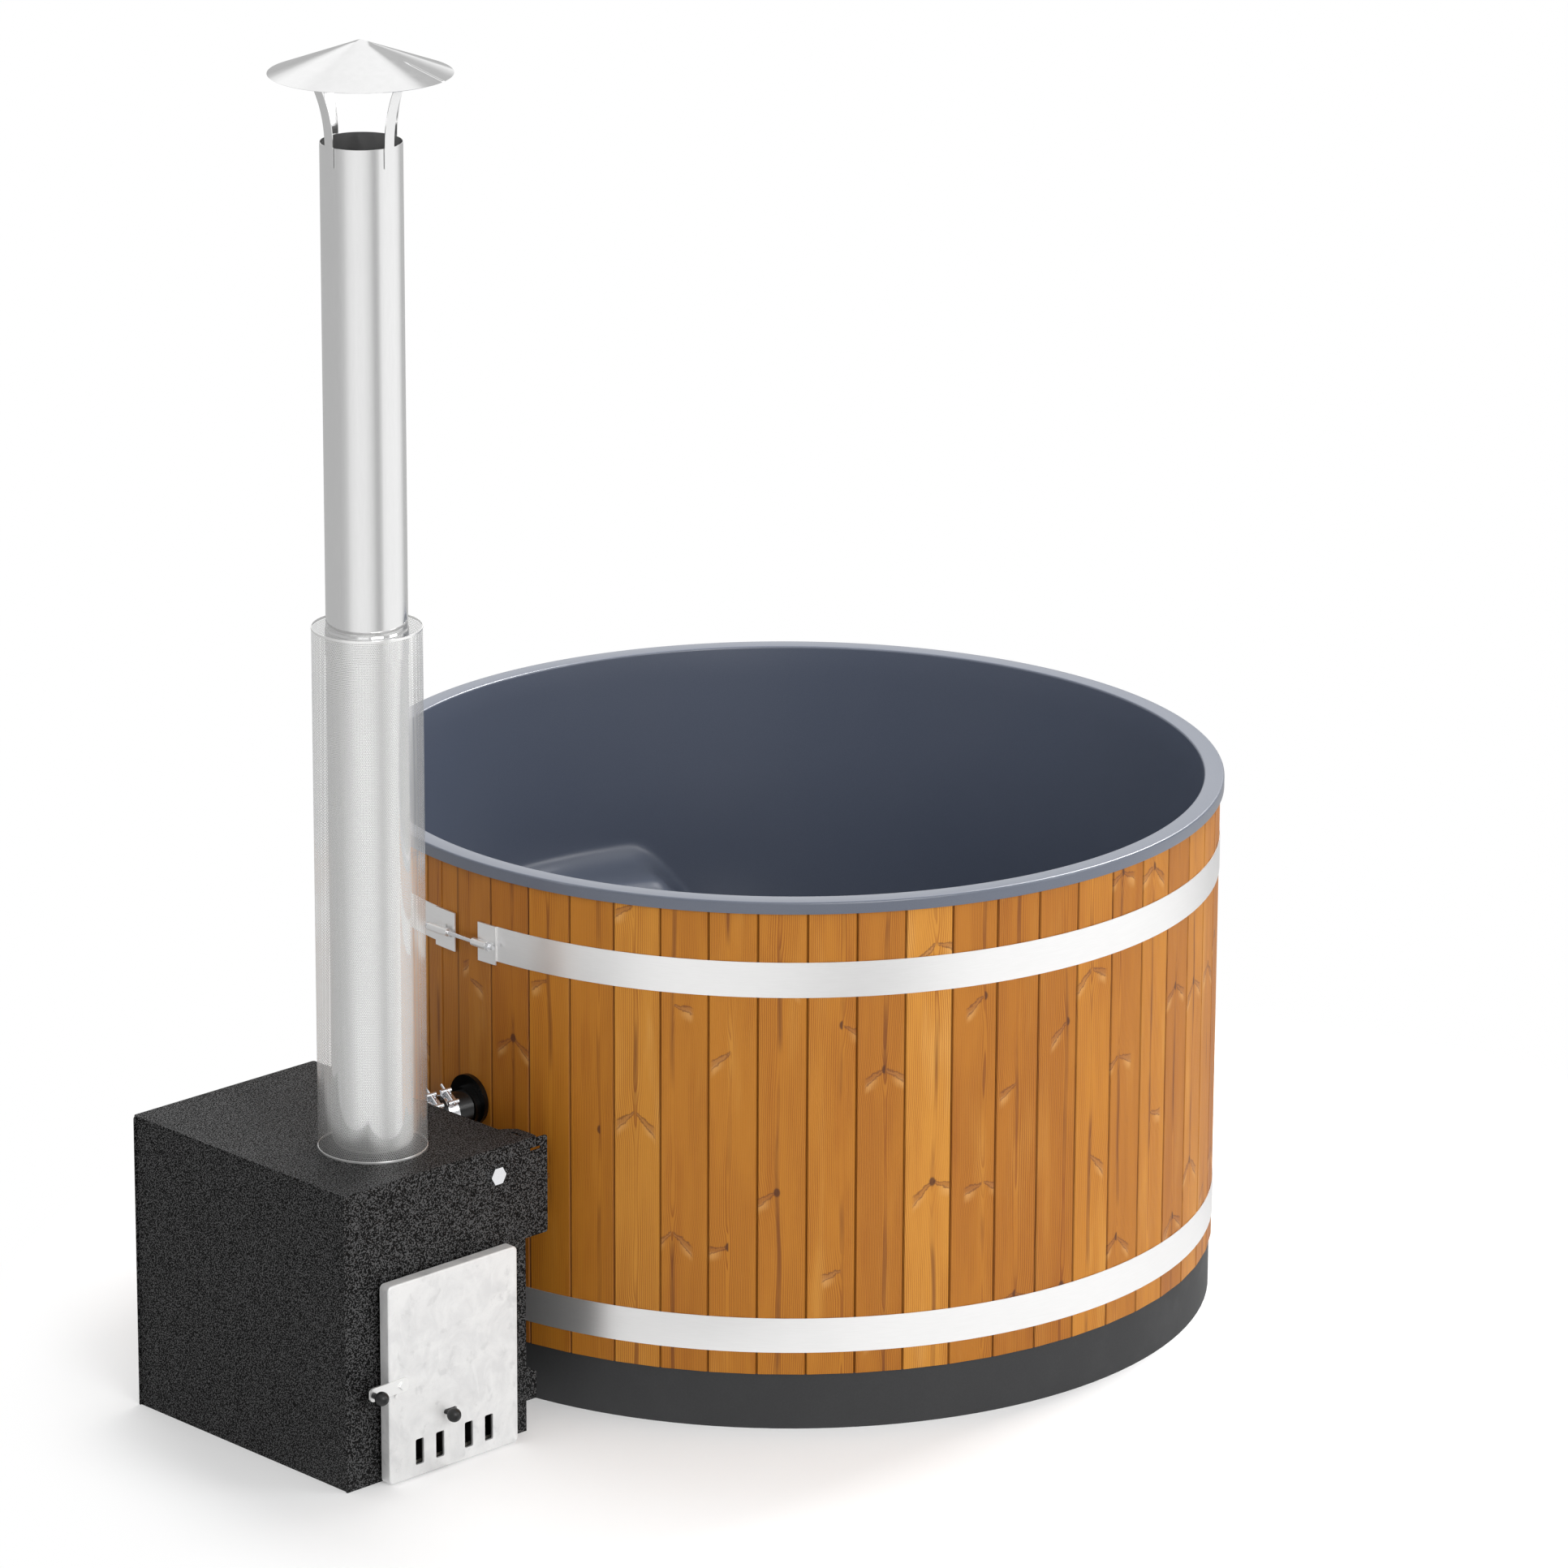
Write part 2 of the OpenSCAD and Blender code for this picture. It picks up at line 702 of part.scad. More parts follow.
// A band clamp with two cross pins and its bolt; its local axis is the hose's
module hose_clamp() {
    ring_r = hose_r + seat + clamp_t;
    translate([0, 0, -clamp_w / 2]) {
        difference() {
            union() {
                cylinder(r = ring_r, h = clamp_w);
                rotate([0, 0, clamp_bolt_turn]) for (pin = clamp_pins)
                    translate([ring_r - clamp_pin_r, pin - clamp_web_t / 2, 0])
                        cube([clamp_bolt_up - ring_r + clamp_pin_r, clamp_web_t, clamp_w]);
            }
            translate([0, 0, -over]) cylinder(r = hose_r + seat, h = clamp_w + 2 * over);
        }
        rotate([0, 0, clamp_bolt_turn]) {
            for (pin = clamp_pins)
                translate([clamp_bolt_up, pin, 0]) cylinder(r = clamp_pin_r, h = clamp_w);
            translate([clamp_bolt_up, clamp_bolt_ends[0], clamp_w / 2]) rotate([-90, 0, 0])
                cylinder(r = clamp_bolt_r, h = clamp_bolt_ends[1] - clamp_bolt_ends[0]);
        }
    }
}

module hose_clamps() {
    color([0.8, 0.8, 0.82]) for (z = [upper_port_z, lower_port_z]) for (i = [0, 1])
        on_hose(z, clamp_first + i * clamp_pitch) hose_clamp();
}

// How far a pipe stub reaches into the water jacket
stub_in = 13;

// The heater's pipe stubs, in line with the hoses
module water_stubs() {
    color([0.15, 0.15, 0.15]) for (z = [upper_port_z, lower_port_z]) difference() {
        on_hose(z, hose_l - tail_l) cylinder(r = pipe_in, h = tail_l + stub_in);
        on_hose(z, hose_l - tail_l - over) cylinder(r = bore_r, h = tail_l + stub_in + 2 * over);
    }
}

drain_nut_t = 8;
drain_cap_t = 5;
tail_r = drain_r - drain_wall - run;
drain_bore = tail_r - drain_wall - seat;

module drain_fitting() {
    color([0.85, 0.85, 0.85]) translate([drain_x, 0, 0]) {
        difference() {
            union() {
                translate([0, 0, floor_z]) cylinder(r = drain_flange_r, h = drain_cap_t);
                translate([0, 0, drain_z + drain_r + over])
                    cylinder(r = tail_r, h = floor_z - drain_z - drain_r);
            }
            translate([0, 0, drain_z]) cylinder(r = drain_bore, h = floor_z);
        }
        translate([0, 0, floor_z - liner_t - drain_nut_t]) difference() {
            cylinder(r = drain_flange_r - drain_cap_t, h = drain_nut_t);
            translate([0, 0, -over]) cylinder(r = tail_r + seat, h = drain_nut_t + 2 * over);
        }
    }
}

plug_head_t = 4;
plug_grip_r = 6;
plug_grip_l = 16;

module drain_plug() {
    color([0.1, 0.1, 0.1]) translate([drain_x, 0, floor_z + drain_cap_t]) {
        cylinder(r = (drain_bore + drain_flange_r) / 2, h = plug_head_t);
        translate([0, 0, -2 * drain_cap_t])
            cylinder(r = drain_bore - run, h = 2 * drain_cap_t + plug_head_t / 2);
        cylinder(r = plug_grip_r, h = plug_head_t + plug_grip_l);
    }
}

module drain_pipe() {
    end = clad_r + drain_out;
    color([0.5, 0.5, 0.5]) difference() {
        union() {
            rod_x([drain_x, 0, drain_z], drain_r, end - drain_x);
            rod_x([base_r, 0, drain_z], drain_end_r, end - base_r);
            translate([drain_x, 0, drain_z])
                cylinder(r = drain_r, h = floor_z - liner_t - drain_nut_t - drain_z);
            translate([drain_x, 0, drain_z]) sphere(r = drain_r);
        }
        rod_x([drain_x, 0, drain_z], drain_r - drain_wall, end - drain_x + over);
        translate([drain_x, 0, drain_z]) cylinder(r = drain_r - drain_wall, h = floor_z);
        translate([drain_x, 0, drain_z]) sphere(r = drain_r - drain_wall);
    }
}

// Front plate with its door opening, two ears, ear slot and port
ear_foot = 366;
ear_slot_l = 26;
ear_slot_h = 6;
ear_slot_up = 160;
foot_ear_z = 57;
foot_ear_h = 67;
foot_ear_cut = 17;
port_z = 501;
port_in = 66;
port_shank = 10;
plug_head = 5;

module front_plate() {
    color([0.1, 0.1, 0.1]) difference() {
        upright(front_y, plate_t) {
            translate([left_x, 0]) square([heater_w, top_z - plate_r]);
            translate([left_x, plate_r]) round_rect(heater_w, top_z - plate_r, plate_r);
            translate([right_x - ear_l, ear_foot]) round_rect(2 * ear_l, ear_h - plate_t / 2, plate_r);
            polygon([[right_x - foot_ear_l, foot_ear_z], [right_x + foot_ear_l, foot_ear_z],
                [right_x + foot_ear_l, foot_ear_z + foot_ear_h - foot_ear_cut],
                [right_x, foot_ear_z + foot_ear_h], [right_x - foot_ear_l, foot_ear_z + foot_ear_h]]);
        }
        upright(front_y - over, plate_t + 2 * over) {
            translate([open_l, open_foot]) square([open_r - open_l, open_top - open_foot]);
            translate([right_x + ear_l - ear_slot_l - plate_r * 3, ear_foot + ear_slot_up])
                slot_shape(ear_slot_l, ear_slot_h);
        }
        rod_y([right_x - port_in, front_y - over, port_z], port_shank + run, plate_t + 2 * over);
    }
}

module back_plate() {
    color([0.1, 0.1, 0.1]) upright(back_y - plate_t, plate_t) {
        translate([left_x, 0]) square([heater_w, top_z - plate_r]);
        translate([left_x, plate_r]) round_rect(heater_w, top_z - plate_r, plate_r);
    }
}

module left_side_plate() {
    color([0.12, 0.12, 0.12]) translate([side_l, box_front, 0])
        cube([plate_t, heater_d - 2 * plate_t, top_z]);
}

module right_side_plate() {
    color([0.12, 0.12, 0.12]) difference() {
        translate([side_r - plate_t, box_front, 0])
            cube([plate_t, heater_d - 2 * plate_t, top_z]);
        for (z = [upper_port_z, lower_port_z])
            on_hose(z, hose_l - tail_l) cylinder(r = pipe_in + seat, h = 2 * tail_l);
    }
}

// Top plate with the flue's hole and the slotted hump at its front right corner
hump_w = 74;
hump_slot_w = 6;
hump_slot_l = 26;
hump_slot_in = 8;
hump_shares = [[0, 1], [0.39, 0.86], [0.93, 0.67], [1, 0.3], [0.96, 0.05], [0.9, 0], [0, 0]];

module top_plate() {
    color([0.1, 0.1, 0.1]) translate([0, 0, top_z]) difference() {
        linear_extrude(plate_t) {
            translate([left_x, front_y]) round_rect(heater_w, heater_d, plate_r);
            translate([right_x, front_y]) polygon([for (p = hump_shares)
                [p[0] * hump_l - (p[0] == 0 ? plate_r : 0), p[1] * hump_w]]);
            translate([right_x - 2 * plate_r, front_y]) square([2 * plate_r, hump_w]);
        }
        translate([flue_x, flue_y, -over])
            cylinder(r = flue_r - flue_wall, h = plate_t + 2 * over);
        translate([right_x + hump_slot_in - hump_slot_w / 2, front_y + hump_w / 4, -over])
            linear_extrude(plate_t + 2 * over) slot_shape(hump_slot_w, hump_slot_l);
    }
}

module bottom_plate() {
    color([0.1, 0.1, 0.1]) translate([side_l + plate_t, box_front, 0])
        cube([side_r - side_l - 2 * plate_t, heater_d - 2 * plate_t, plate_t]);
}

// Firebox inside the water jacket, open to the door, with ledges for the grate
module firebox() {
    w = box_r - box_l;
    d = box_back - box_front;
    color([0.2, 0.18, 0.17]) difference() {
        union() {
            difference() {
                translate([box_l, box_front, firebox_foot]) cube([w, d, box_top - firebox_foot]);
                translate([box_l + firebox_wall, box_front - over, firebox_foot + firebox_wall])
                    cube([w - 2 * firebox_wall, d - firebox_wall + over,
                        box_top - firebox_foot - 2 * firebox_wall]);
            }
            for (x = [box_l + firebox_wall / 2, box_r - firebox_wall / 2 - ledge_w])
                translate([x, box_front, grate_z - ledge_t])
                    cube([ledge_w, d - firebox_wall / 2, ledge_t]);
        }
        translate([flue_x, flue_y, box_top - 2 * firebox_wall])
            cylinder(r = spigot_r - spigot_wall, h = 4 * firebox_wall);
    }
}

module grate() {
    w = box_r - box_l - 2 * firebox_wall - 2 * seat;
    d = box_back - box_front - firebox_wall - 2 * ledge_w;
    step = (w - grate_bar_w) / (grate_bars - 1);
    color([0.15, 0.15, 0.15])
        translate([box_l + firebox_wall + seat, box_front + ledge_w, grate_z]) {
            for (i = [0:grate_bars - 1]) translate([i * step, 0, 0])
                cube([grate_bar_w, d, grate_t]);
            for (y = [0, (d - grate_bar_w) / 2, d - grate_bar_w]) translate([0, y, 0])
                cube([w, grate_bar_w, grate_t]);
        }
}

module port_plug() {
    color([0.85, 0.87, 0.9]) {
        rod_y([right_x - port_in, front_y - plug_head, port_z],
            plug_flats / 2 / cos(30), plug_head, 6);
        rod_y([right_x - port_in, front_y - plug_head / 2, port_z],
            port_shank, plug_head / 2 + 4 * plate_t);
    }
}

// A rectangular ring round the door opening: grow outside the opening's edge, width w
module opening_ring(grow, w) {
    difference() {
        translate([open_l - grow - w, open_foot - grow - w])
            square([open_r - open_l + 2 * grow + 2 * w, open_top - open_foot + 2 * grow + 2 * w]);
        translate([open_l - grow, open_foot - grow])
            square([open_r - open_l + 2 * grow, open_top - open_foot + 2 * grow]);
    }
}

module door_frame() {
    color([0.12, 0.12, 0.12]) upright(front_y - frame_t, frame_t) opening_ring(0, frame_w);
}

module door_seal() {
    color([0.8, 0.78, 0.7]) upright(front_y - frame_t - seal_t, seal_t)
        opening_ring(0, frame_w);
}

// Round-cornered plate with a soft front edge, its front face at y0
module soft_plate(x0, z0, w, h, y0, t, r, e) {
    hull() for (x = [x0 + r, x0 + w - r]) for (z = [z0 + r, z0 + h - r])
        translate([x, y0, z]) rotate([-90, 0, 0]) rotate_extrude($fn = 32)
            polygon(concat([[0, 0]], arc([r - e, e], e, -90, 0, 4), [[r, t], [0, t]]));
}

module air_slots(grow) {
    for (x = slot_offsets)
        translate([door_mid + x - slot_w / 2 - grow, door_z + slot_foot - grow])
            round_rect(slot_w + 2 * grow, slot_h + 2 * grow, slot_r + grow);
}

hinge_zs = [for (s = hinge_share) door_z + s * door_h];

module door() {
    color([0.88, 0.88, 0.87]) difference() {
        union() {
            difference() {
                soft_plate(door_l, door_z, door_w, door_h, door_face, door_d, door_r, door_edge);
                upright(wall_back, door_d) translate([door_l + door_rim, door_z + door_rim])
                    round_rect(door_w - 2 * door_rim, door_h - 2 * door_rim, door_r - door_rim);
            }
            upright(wall_back - door_wall / 2, door_d + door_gap - frame_t - seal_t - run
                    - door_wall / 2)
                opening_ring(rib_in, rib_t);
            for (z = hinge_zs) for (s = [-1, 1]) translate([hinge_x, 0,
                    z + s * (lug_hinge_t + boss_l + 2 * run) / 2 - boss_l / 2]) {
                translate([0, hinge_y, 0]) cylinder(r = boss_r, h = boss_l);
                translate([-boss_r, wall_back - door_wall / 2, 0])
                    cube([boss_r + hinge_edge - door_rim / 2, hinge_edge + door_wall / 2, boss_l]);
            }
        }
        upright(door_face - over, door_wall + 2 * over) {
            air_slots(0);
            translate([door_mid - knob_side - knob_hole_r, door_z + knob_up - knob_hole_r])
                slot_shape(damper_travel + 2 * knob_hole_r, 2 * knob_hole_r);
        }
        rod_y([latch_x, door_face - over, latch_z], pivot_r + seat / 2, door_wall + 2 * over);
        for (z = hinge_zs) {
            translate([hinge_x, hinge_y, z - lug_hinge_t / 2 - boss_l - 2 * run])
                cylinder(r = hinge_pin_r + seat / 2, h = lug_hinge_t + 2 * boss_l + 4 * run);
            translate([hinge_x + hinge_edge - door_rim - over, wall_back,
                    z - lug_hinge_t / 2 - run])
                cube([door_rim + 2 * over, door_d, lug_hinge_t + 2 * run]);
        }
    }
}

module hinge_brackets() {
    color([0.12, 0.12, 0.12]) for (z = hinge_zs) translate([hinge_x, 0, z - lug_hinge_t / 2])
        difference() {
            union() {
                translate([0, hinge_y, 0]) cylinder(r = bracket_r, h = lug_hinge_t);
                translate([-bracket_r, hinge_y, 0])
                    cube([2 * bracket_r - over, front_y - hinge_y, lug_hinge_t]);
            }
            translate([0, hinge_y, -over])
                cylinder(r = hinge_pin_r + pin_fit, h = lug_hinge_t + 2 * over);
        }
}

module hinge_pins() {
    color([0.7, 0.7, 0.7]) for (z = hinge_zs)
        translate([hinge_x, hinge_y, z - lug_hinge_t / 2 - boss_l - run])
            cylinder(r = hinge_pin_r, h = lug_hinge_t + 2 * boss_l + 2 * run);
}

module latch_bar() {
    color([0.75, 0.75, 0.75]) difference() {
        upright(latch_face - latch_t, latch_t)
            translate([latch_x + latch_tail - latch_l, latch_z - latch_h / 2])
                round_rect(latch_l, latch_h, latch_end_r);
        rod_y([latch_x, latch_face - latch_t - over, latch_z], pivot_r + pin_fit,
            latch_t + 2 * over);
    }
}

pivot_head_w = 11;
pivot_head_t = 3;

module latch_pivot() {
    head_y = latch_face - latch_t - run - pivot_head_t;
    color([0.7, 0.7, 0.7]) {
        rod_y([latch_x, head_y, latch_z], pivot_head_w / 2 / cos(45), pivot_head_t, 4);
        rod_y([latch_x, head_y + pivot_head_t / 2, latch_z], pivot_r,
            wall_back - head_y - pivot_head_t / 2);
    }
}

// A ball knob on a neck that stands out along -Y from y0
module ball_knob(x, z, y0, neck_r) {
    translate([x, y0 - knob_out, z]) sphere(r = knob_r, $fn = 48);
    rod_y([x, y0 - knob_out, z], neck_r, knob_out, 48);
}

knob_neck_r = 5.5;

module latch_knob() {
    color([0.05, 0.05, 0.05]) ball_knob(latch_x + latch_tail - latch_l + latch_knob_in,
        latch_z, latch_face - latch_t, knob_neck_r);
}

stop_r = 3;
stop_l = 5;
stop_in = 12.5;

module latch_stop() {
    color([0.6, 0.6, 0.6]) rod_y([door_l + stop_in, door_face - stop_l,
        latch_z - latch_h / 2 - stop_r - run], stop_r, stop_l);
}

keeper_w = 20;
keeper_t = 4;
keeper_out = 10;

module latch_keeper() {
    y0 = latch_face - latch_t;
    color([0.1, 0.1, 0.1]) translate([door_l - keeper_out - keeper_w, 0,
            latch_z - latch_h / 2 - keeper_t - run]) {
        translate([0, y0, 0]) cube([keeper_w, front_y - y0, keeper_t]);
        translate([0, front_y - keeper_t, -keeper_w])
            cube([keeper_w, keeper_t, keeper_w + keeper_t / 2]);
    }
}

// The sliding air plate behind the slots, open at rest, shut at the end of its travel
module damper_plate() {
    y0 = wall_back + run;
    x0 = door_mid + slot_offsets[0] - slot_w / 2 - damper_travel - damper_over;
    x1 = door_mid + slot_offsets[3] + slot_w / 2 + damper_over;
    color([0.3, 0.3, 0.3]) difference() {
        upright(y0, damper_t)
            translate([x0, damper_foot]) square([x1 - x0, damper_top - damper_foot]);
        upright(y0 - over, damper_t + 2 * over) air_slots(window_pass);
        rod_y([door_mid - knob_side, y0 - over, door_z + knob_up], knob_stem_r + seat / 2,
            damper_t + 2 * over);
    }
}

module damper_guides() {
    x0 = door_mid + slot_offsets[0] - slot_w / 2 - damper_travel - damper_over;
    x1 = door_mid + slot_offsets[3] + slot_w / 2 + damper_over;
    t = damper_t + 2 * run;
    color([0.4, 0.4, 0.4]) for (side = [0, 1]) {
        z0 = side == 0 ? damper_foot - run - guide_h : damper_top + run;
        lip = side == 0 ? z0 : damper_top - guide_lip;
        translate([x0, wall_back, z0]) cube([x1 - x0, t + guide_lip / 2, guide_h]);
        translate([x0, wall_back + t, lip])
            cube([x1 - x0, guide_lip, guide_h + guide_lip + run]);
    }
}

module damper_knob() {
    x = door_mid - knob_side;
    z = door_z + knob_up;
    color([0.05, 0.05, 0.05]) {
        ball_knob(x, z, door_face, knob_stem_r);
        rod_y([x, door_face - over, z], knob_stem_r, door_wall + run + damper_t + over);
    }
}

module flue_collar() {
    color([0.2, 0.2, 0.2]) translate([flue_x, flue_y, box_top]) difference() {
        union() {
            cylinder(r = flue_r + spigot_flange, h = firebox_wall);
            cylinder(r = spigot_r, h = jacket_top + plate_t + spigot_up);
        }
        translate([0, 0, -over]) cylinder(r = spigot_r - spigot_wall, h = heater_h);
    }
}

module flue_pipe_lower() {
    color([0.85, 0.85, 0.85]) translate([flue_x, flue_y, heater_h]) difference() {
        cylinder(r = flue_r, h = flue_joint - heater_h);
        translate([0, 0, -over]) cylinder(r = flue_r - flue_wall, h = flue_joint);
    }
}

// Upper pipe: a socket over the lower pipe, then the same outer size
socket_skin = 1.2;

module flue_pipe_upper() {
    color([0.85, 0.85, 0.85]) translate([flue_x, flue_y, 0]) rotate_extrude()
        polygon([[flue_r + run, flue_joint - socket_l],
            [flue_r + run + socket_skin, flue_joint - socket_l],
            [flue_r + run + socket_skin, flue_joint], [flue_r, flue_joint + socket_skin * 3],
            [flue_r, flue_top], [flue_r - flue_skin, flue_top],
            [flue_r - flue_skin, flue_joint], [flue_r + run, flue_joint]]);
}

module guard_sleeve() {
    color([0.85, 0.85, 0.85]) translate([flue_x, flue_y, heater_h]) difference() {
        cylinder(r = guard_r, h = guard_l);
        translate([0, 0, -over]) cylinder(r = guard_r - guard_t, h = guard_l + 2 * over);
    }
}

cap_z = flue_top + cap_gap;
cap_drop = cap_h / cap_r;
cap_thick = cap_t / cos(atan(cap_drop));

module rain_cap() {
    color([0.9, 0.9, 0.9]) translate([flue_x, flue_y, cap_z]) rotate_extrude()
        polygon([[0, cap_h], [cap_r, 0], [cap_r - cap_t, -cap_thick + cap_t * cap_drop],
            [0, cap_h - cap_thick]]);
}

// Height of the cap's underside over the edge of a leg at a radius
function under_cap(r) = cap_z + cap_h - cap_thick - norm([r, leg_w / 2]) * cap_drop - seat / 2;

// Bends of a leg's inner face: shares of the way from the pipe to the cap's rim and up the gap
leg_bend_shares = [[0, 0], [0.1, 0.3], [0.46, 0.88]];
leg_tab_share = 0.62;

module cap_legs() {
    r0 = flue_r + run + seat;
    foot = flue_top - leg_grip;
    inner = concat([[r0, foot]],
        [for (s = leg_bend_shares) [r0 + s[0] * (cap_r - r0), flue_top + s[1] * cap_gap]]);
    r_tab = r0 + leg_tab_share * (cap_r - r0);
    last = inner[len(inner) - 1];
    tab = [[r_tab, under_cap(r_tab)]];
    outer = [for (i = [len(inner) - 1:-1:0]) inner[i] + [leg_t, 0]];
    color([0.85, 0.85, 0.85]) translate([flue_x, flue_y, 0]) for (a = [0:90:270])
        rotate([0, 0, a]) translate([0, leg_w / 2, 0]) rotate([90, 0, 0]) linear_extrude(leg_w)
            polygon(concat(inner, [[last[0] + leg_t / 2, under_cap(last[0] + leg_t / 2)]], tab,
                [[r_tab, under_cap(r_tab) - leg_t]], outer));
}

liner();
wall_staves();
port_stave();
base_pan();
floor_joists();
upper_band();
lower_band();
band_lugs();
tension_rods();
tension_nuts();
wall_flanges();
return_fitting();
suction_fitting();
hose_upper();
hose_lower();
hose_clamps();
water_stubs();
drain_fitting();
drain_plug();
drain_pipe();
front_plate();
back_plate();
left_side_plate();
right_side_plate();
top_plate();
bottom_plate();
firebox();
grate();
port_plug();
door_frame();
door_seal();
door();
hinge_brackets();
hinge_pins();
latch_bar();
latch_pivot();
latch_knob();
latch_stop();
latch_keeper();
damper_plate();
damper_guides();
damper_knob();
flue_collar();
flue_pipe_lower();
flue_pipe_upper();
guard_sleeve();
rain_cap();
cap_legs();
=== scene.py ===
"""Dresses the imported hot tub: materials, moulded liner, perforated guard, cap legs, light and camera."""
import json
import math

import bmesh
import bpy
from mathutils import Matrix, Vector


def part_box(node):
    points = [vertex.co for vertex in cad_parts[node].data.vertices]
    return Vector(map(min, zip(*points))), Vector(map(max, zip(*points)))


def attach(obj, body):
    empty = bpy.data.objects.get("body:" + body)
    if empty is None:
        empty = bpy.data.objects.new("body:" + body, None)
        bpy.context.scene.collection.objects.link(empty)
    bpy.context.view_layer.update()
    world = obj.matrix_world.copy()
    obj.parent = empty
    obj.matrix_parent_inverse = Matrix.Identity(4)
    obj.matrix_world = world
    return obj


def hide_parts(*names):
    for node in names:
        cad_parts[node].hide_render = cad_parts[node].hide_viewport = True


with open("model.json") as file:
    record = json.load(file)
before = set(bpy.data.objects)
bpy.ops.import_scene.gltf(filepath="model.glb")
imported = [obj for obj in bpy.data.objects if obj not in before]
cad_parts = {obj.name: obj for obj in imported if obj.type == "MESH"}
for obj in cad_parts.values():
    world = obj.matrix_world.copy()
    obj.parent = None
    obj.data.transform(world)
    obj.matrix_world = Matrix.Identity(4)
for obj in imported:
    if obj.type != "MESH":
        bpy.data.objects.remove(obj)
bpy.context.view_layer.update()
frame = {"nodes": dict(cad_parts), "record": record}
nodes = frame["nodes"]

MM = 0.001
TAU = 2 * math.pi

# Driving sizes, in metres
TUB_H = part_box("liner")[1].z
RIM_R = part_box("liner")[1].x
CLAD_R = RIM_R - 8 * MM
FIRST_JOINT = math.radians(-175.72)
BOARD_COUNT = 57
PITCH = TAU / BOARD_COUNT
GUARD_LO, GUARD_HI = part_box("guard_sleeve")
GUARD_R = (GUARD_HI.x - GUARD_LO.x) / 2
FLUE_X = (GUARD_LO.x + GUARD_HI.x) / 2
FLUE_Y = (GUARD_LO.y + GUARD_HI.y) / 2


# Shader helpers
class Nodes:
    """Short calls to add nodes to an emptied node tree."""

    def __init__(self, tree, space):
        tree.nodes.clear()
        self.tree = tree
        self.space = self.add("ShaderNodeTexCoord").outputs[space]

    def put(self, socket, value):
        if isinstance(value, bpy.types.NodeSocket):
            self.tree.links.new(value, socket)
        elif hasattr(socket.default_value, "__len__") and len(socket.default_value) == 4 and len(value) == 3:
            socket.default_value = (*value, 1)
        else:
            socket.default_value = value

    def add(self, kind, props=None, **sockets):
        n = self.tree.nodes.new(kind)
        for key, value in (props or {}).items():
            setattr(n, key, value)
        for key, value in sockets.items():
            self.put(n.inputs[key.replace("_", " ")], value)
        return n

    def math(self, op, a, b=None, c=None):
        n = self.add("ShaderNodeMath", {"operation": op})
        for socket, value in zip(n.inputs, (a, b, c)):
            if value is not None:
                self.put(socket, value)
        return n.outputs[0]

    def split(self, vector=None):
        return self.add("ShaderNodeSeparateXYZ", Vector=vector or self.space).outputs

    def join(self, x, y, z):
        return self.add("ShaderNodeCombineXYZ", X=x, Y=y, Z=z).outputs[0]

    def stretch(self, sx, sy, sz):
        return self.add("ShaderNodeMapping", Vector=self.space, Scale=(sx, sy, sz)).outputs[0]

    def noise(self, scale, detail=3.0, rough=0.5, vector=None, distort=0.0):
        return self.add(
            "ShaderNodeTexNoise", Vector=vector or self.space, Scale=scale, Detail=detail,
            Roughness=rough, Distortion=distort,
        ).outputs[0]

    def range(self, value, lo, hi, to_lo=0.0, to_hi=1.0):
        return self.add(
            "ShaderNodeMapRange", {"interpolation_type": "SMOOTHSTEP"},
            Value=value, From_Min=lo, From_Max=hi, To_Min=to_lo, To_Max=to_hi,
        ).outputs[0]

    def mix(self, factor, a, b, kind="MIX"):
        n = self.add("ShaderNodeMix", {"data_type": "RGBA", "blend_type": kind})
        for socket, value in zip((n.inputs[0], n.inputs[6], n.inputs[7]), (factor, a, b)):
            self.put(socket, value)
        return n.outputs[2]

    def ramp(self, value, stops):
        n = self.add("ShaderNodeValToRGB", Fac=value)
        while len(n.color_ramp.elements) < len(stops):
            n.color_ramp.elements.new(0.5)
        for element, (place, colour) in zip(n.color_ramp.elements, stops):
            element.position = place
            element.color = (*colour, 1)
        return n.outputs[0]

    def bump(self, height, distance, strength=1.0):
        return self.add("ShaderNodeBump", Height=height, Distance=distance, Strength=strength).outputs[0]


class Shader(Nodes):
    """A new material with a Principled BSDF."""

    def __init__(self, name, **sockets):
        self.mat = bpy.data.materials.new(name)
        self.mat.use_nodes = True
        super().__init__(self.mat.node_tree, "Object")
        self.out = self.add("ShaderNodeOutputMaterial")
        self.bsdf = self.add("ShaderNodeBsdfPrincipled", **sockets)
        self.tree.links.new(self.bsdf.outputs[0], self.out.inputs["Surface"])

    def set(self, **sockets):
        for key, value in sockets.items():
            self.put(self.bsdf.inputs[key.replace("_", " ")], value)
        return self.mat


def dress(node, mat):
    """Gives a CAD node one material all over."""
    mesh = nodes[node].data
    mesh.materials.clear()
    mesh.materials.append(mat)


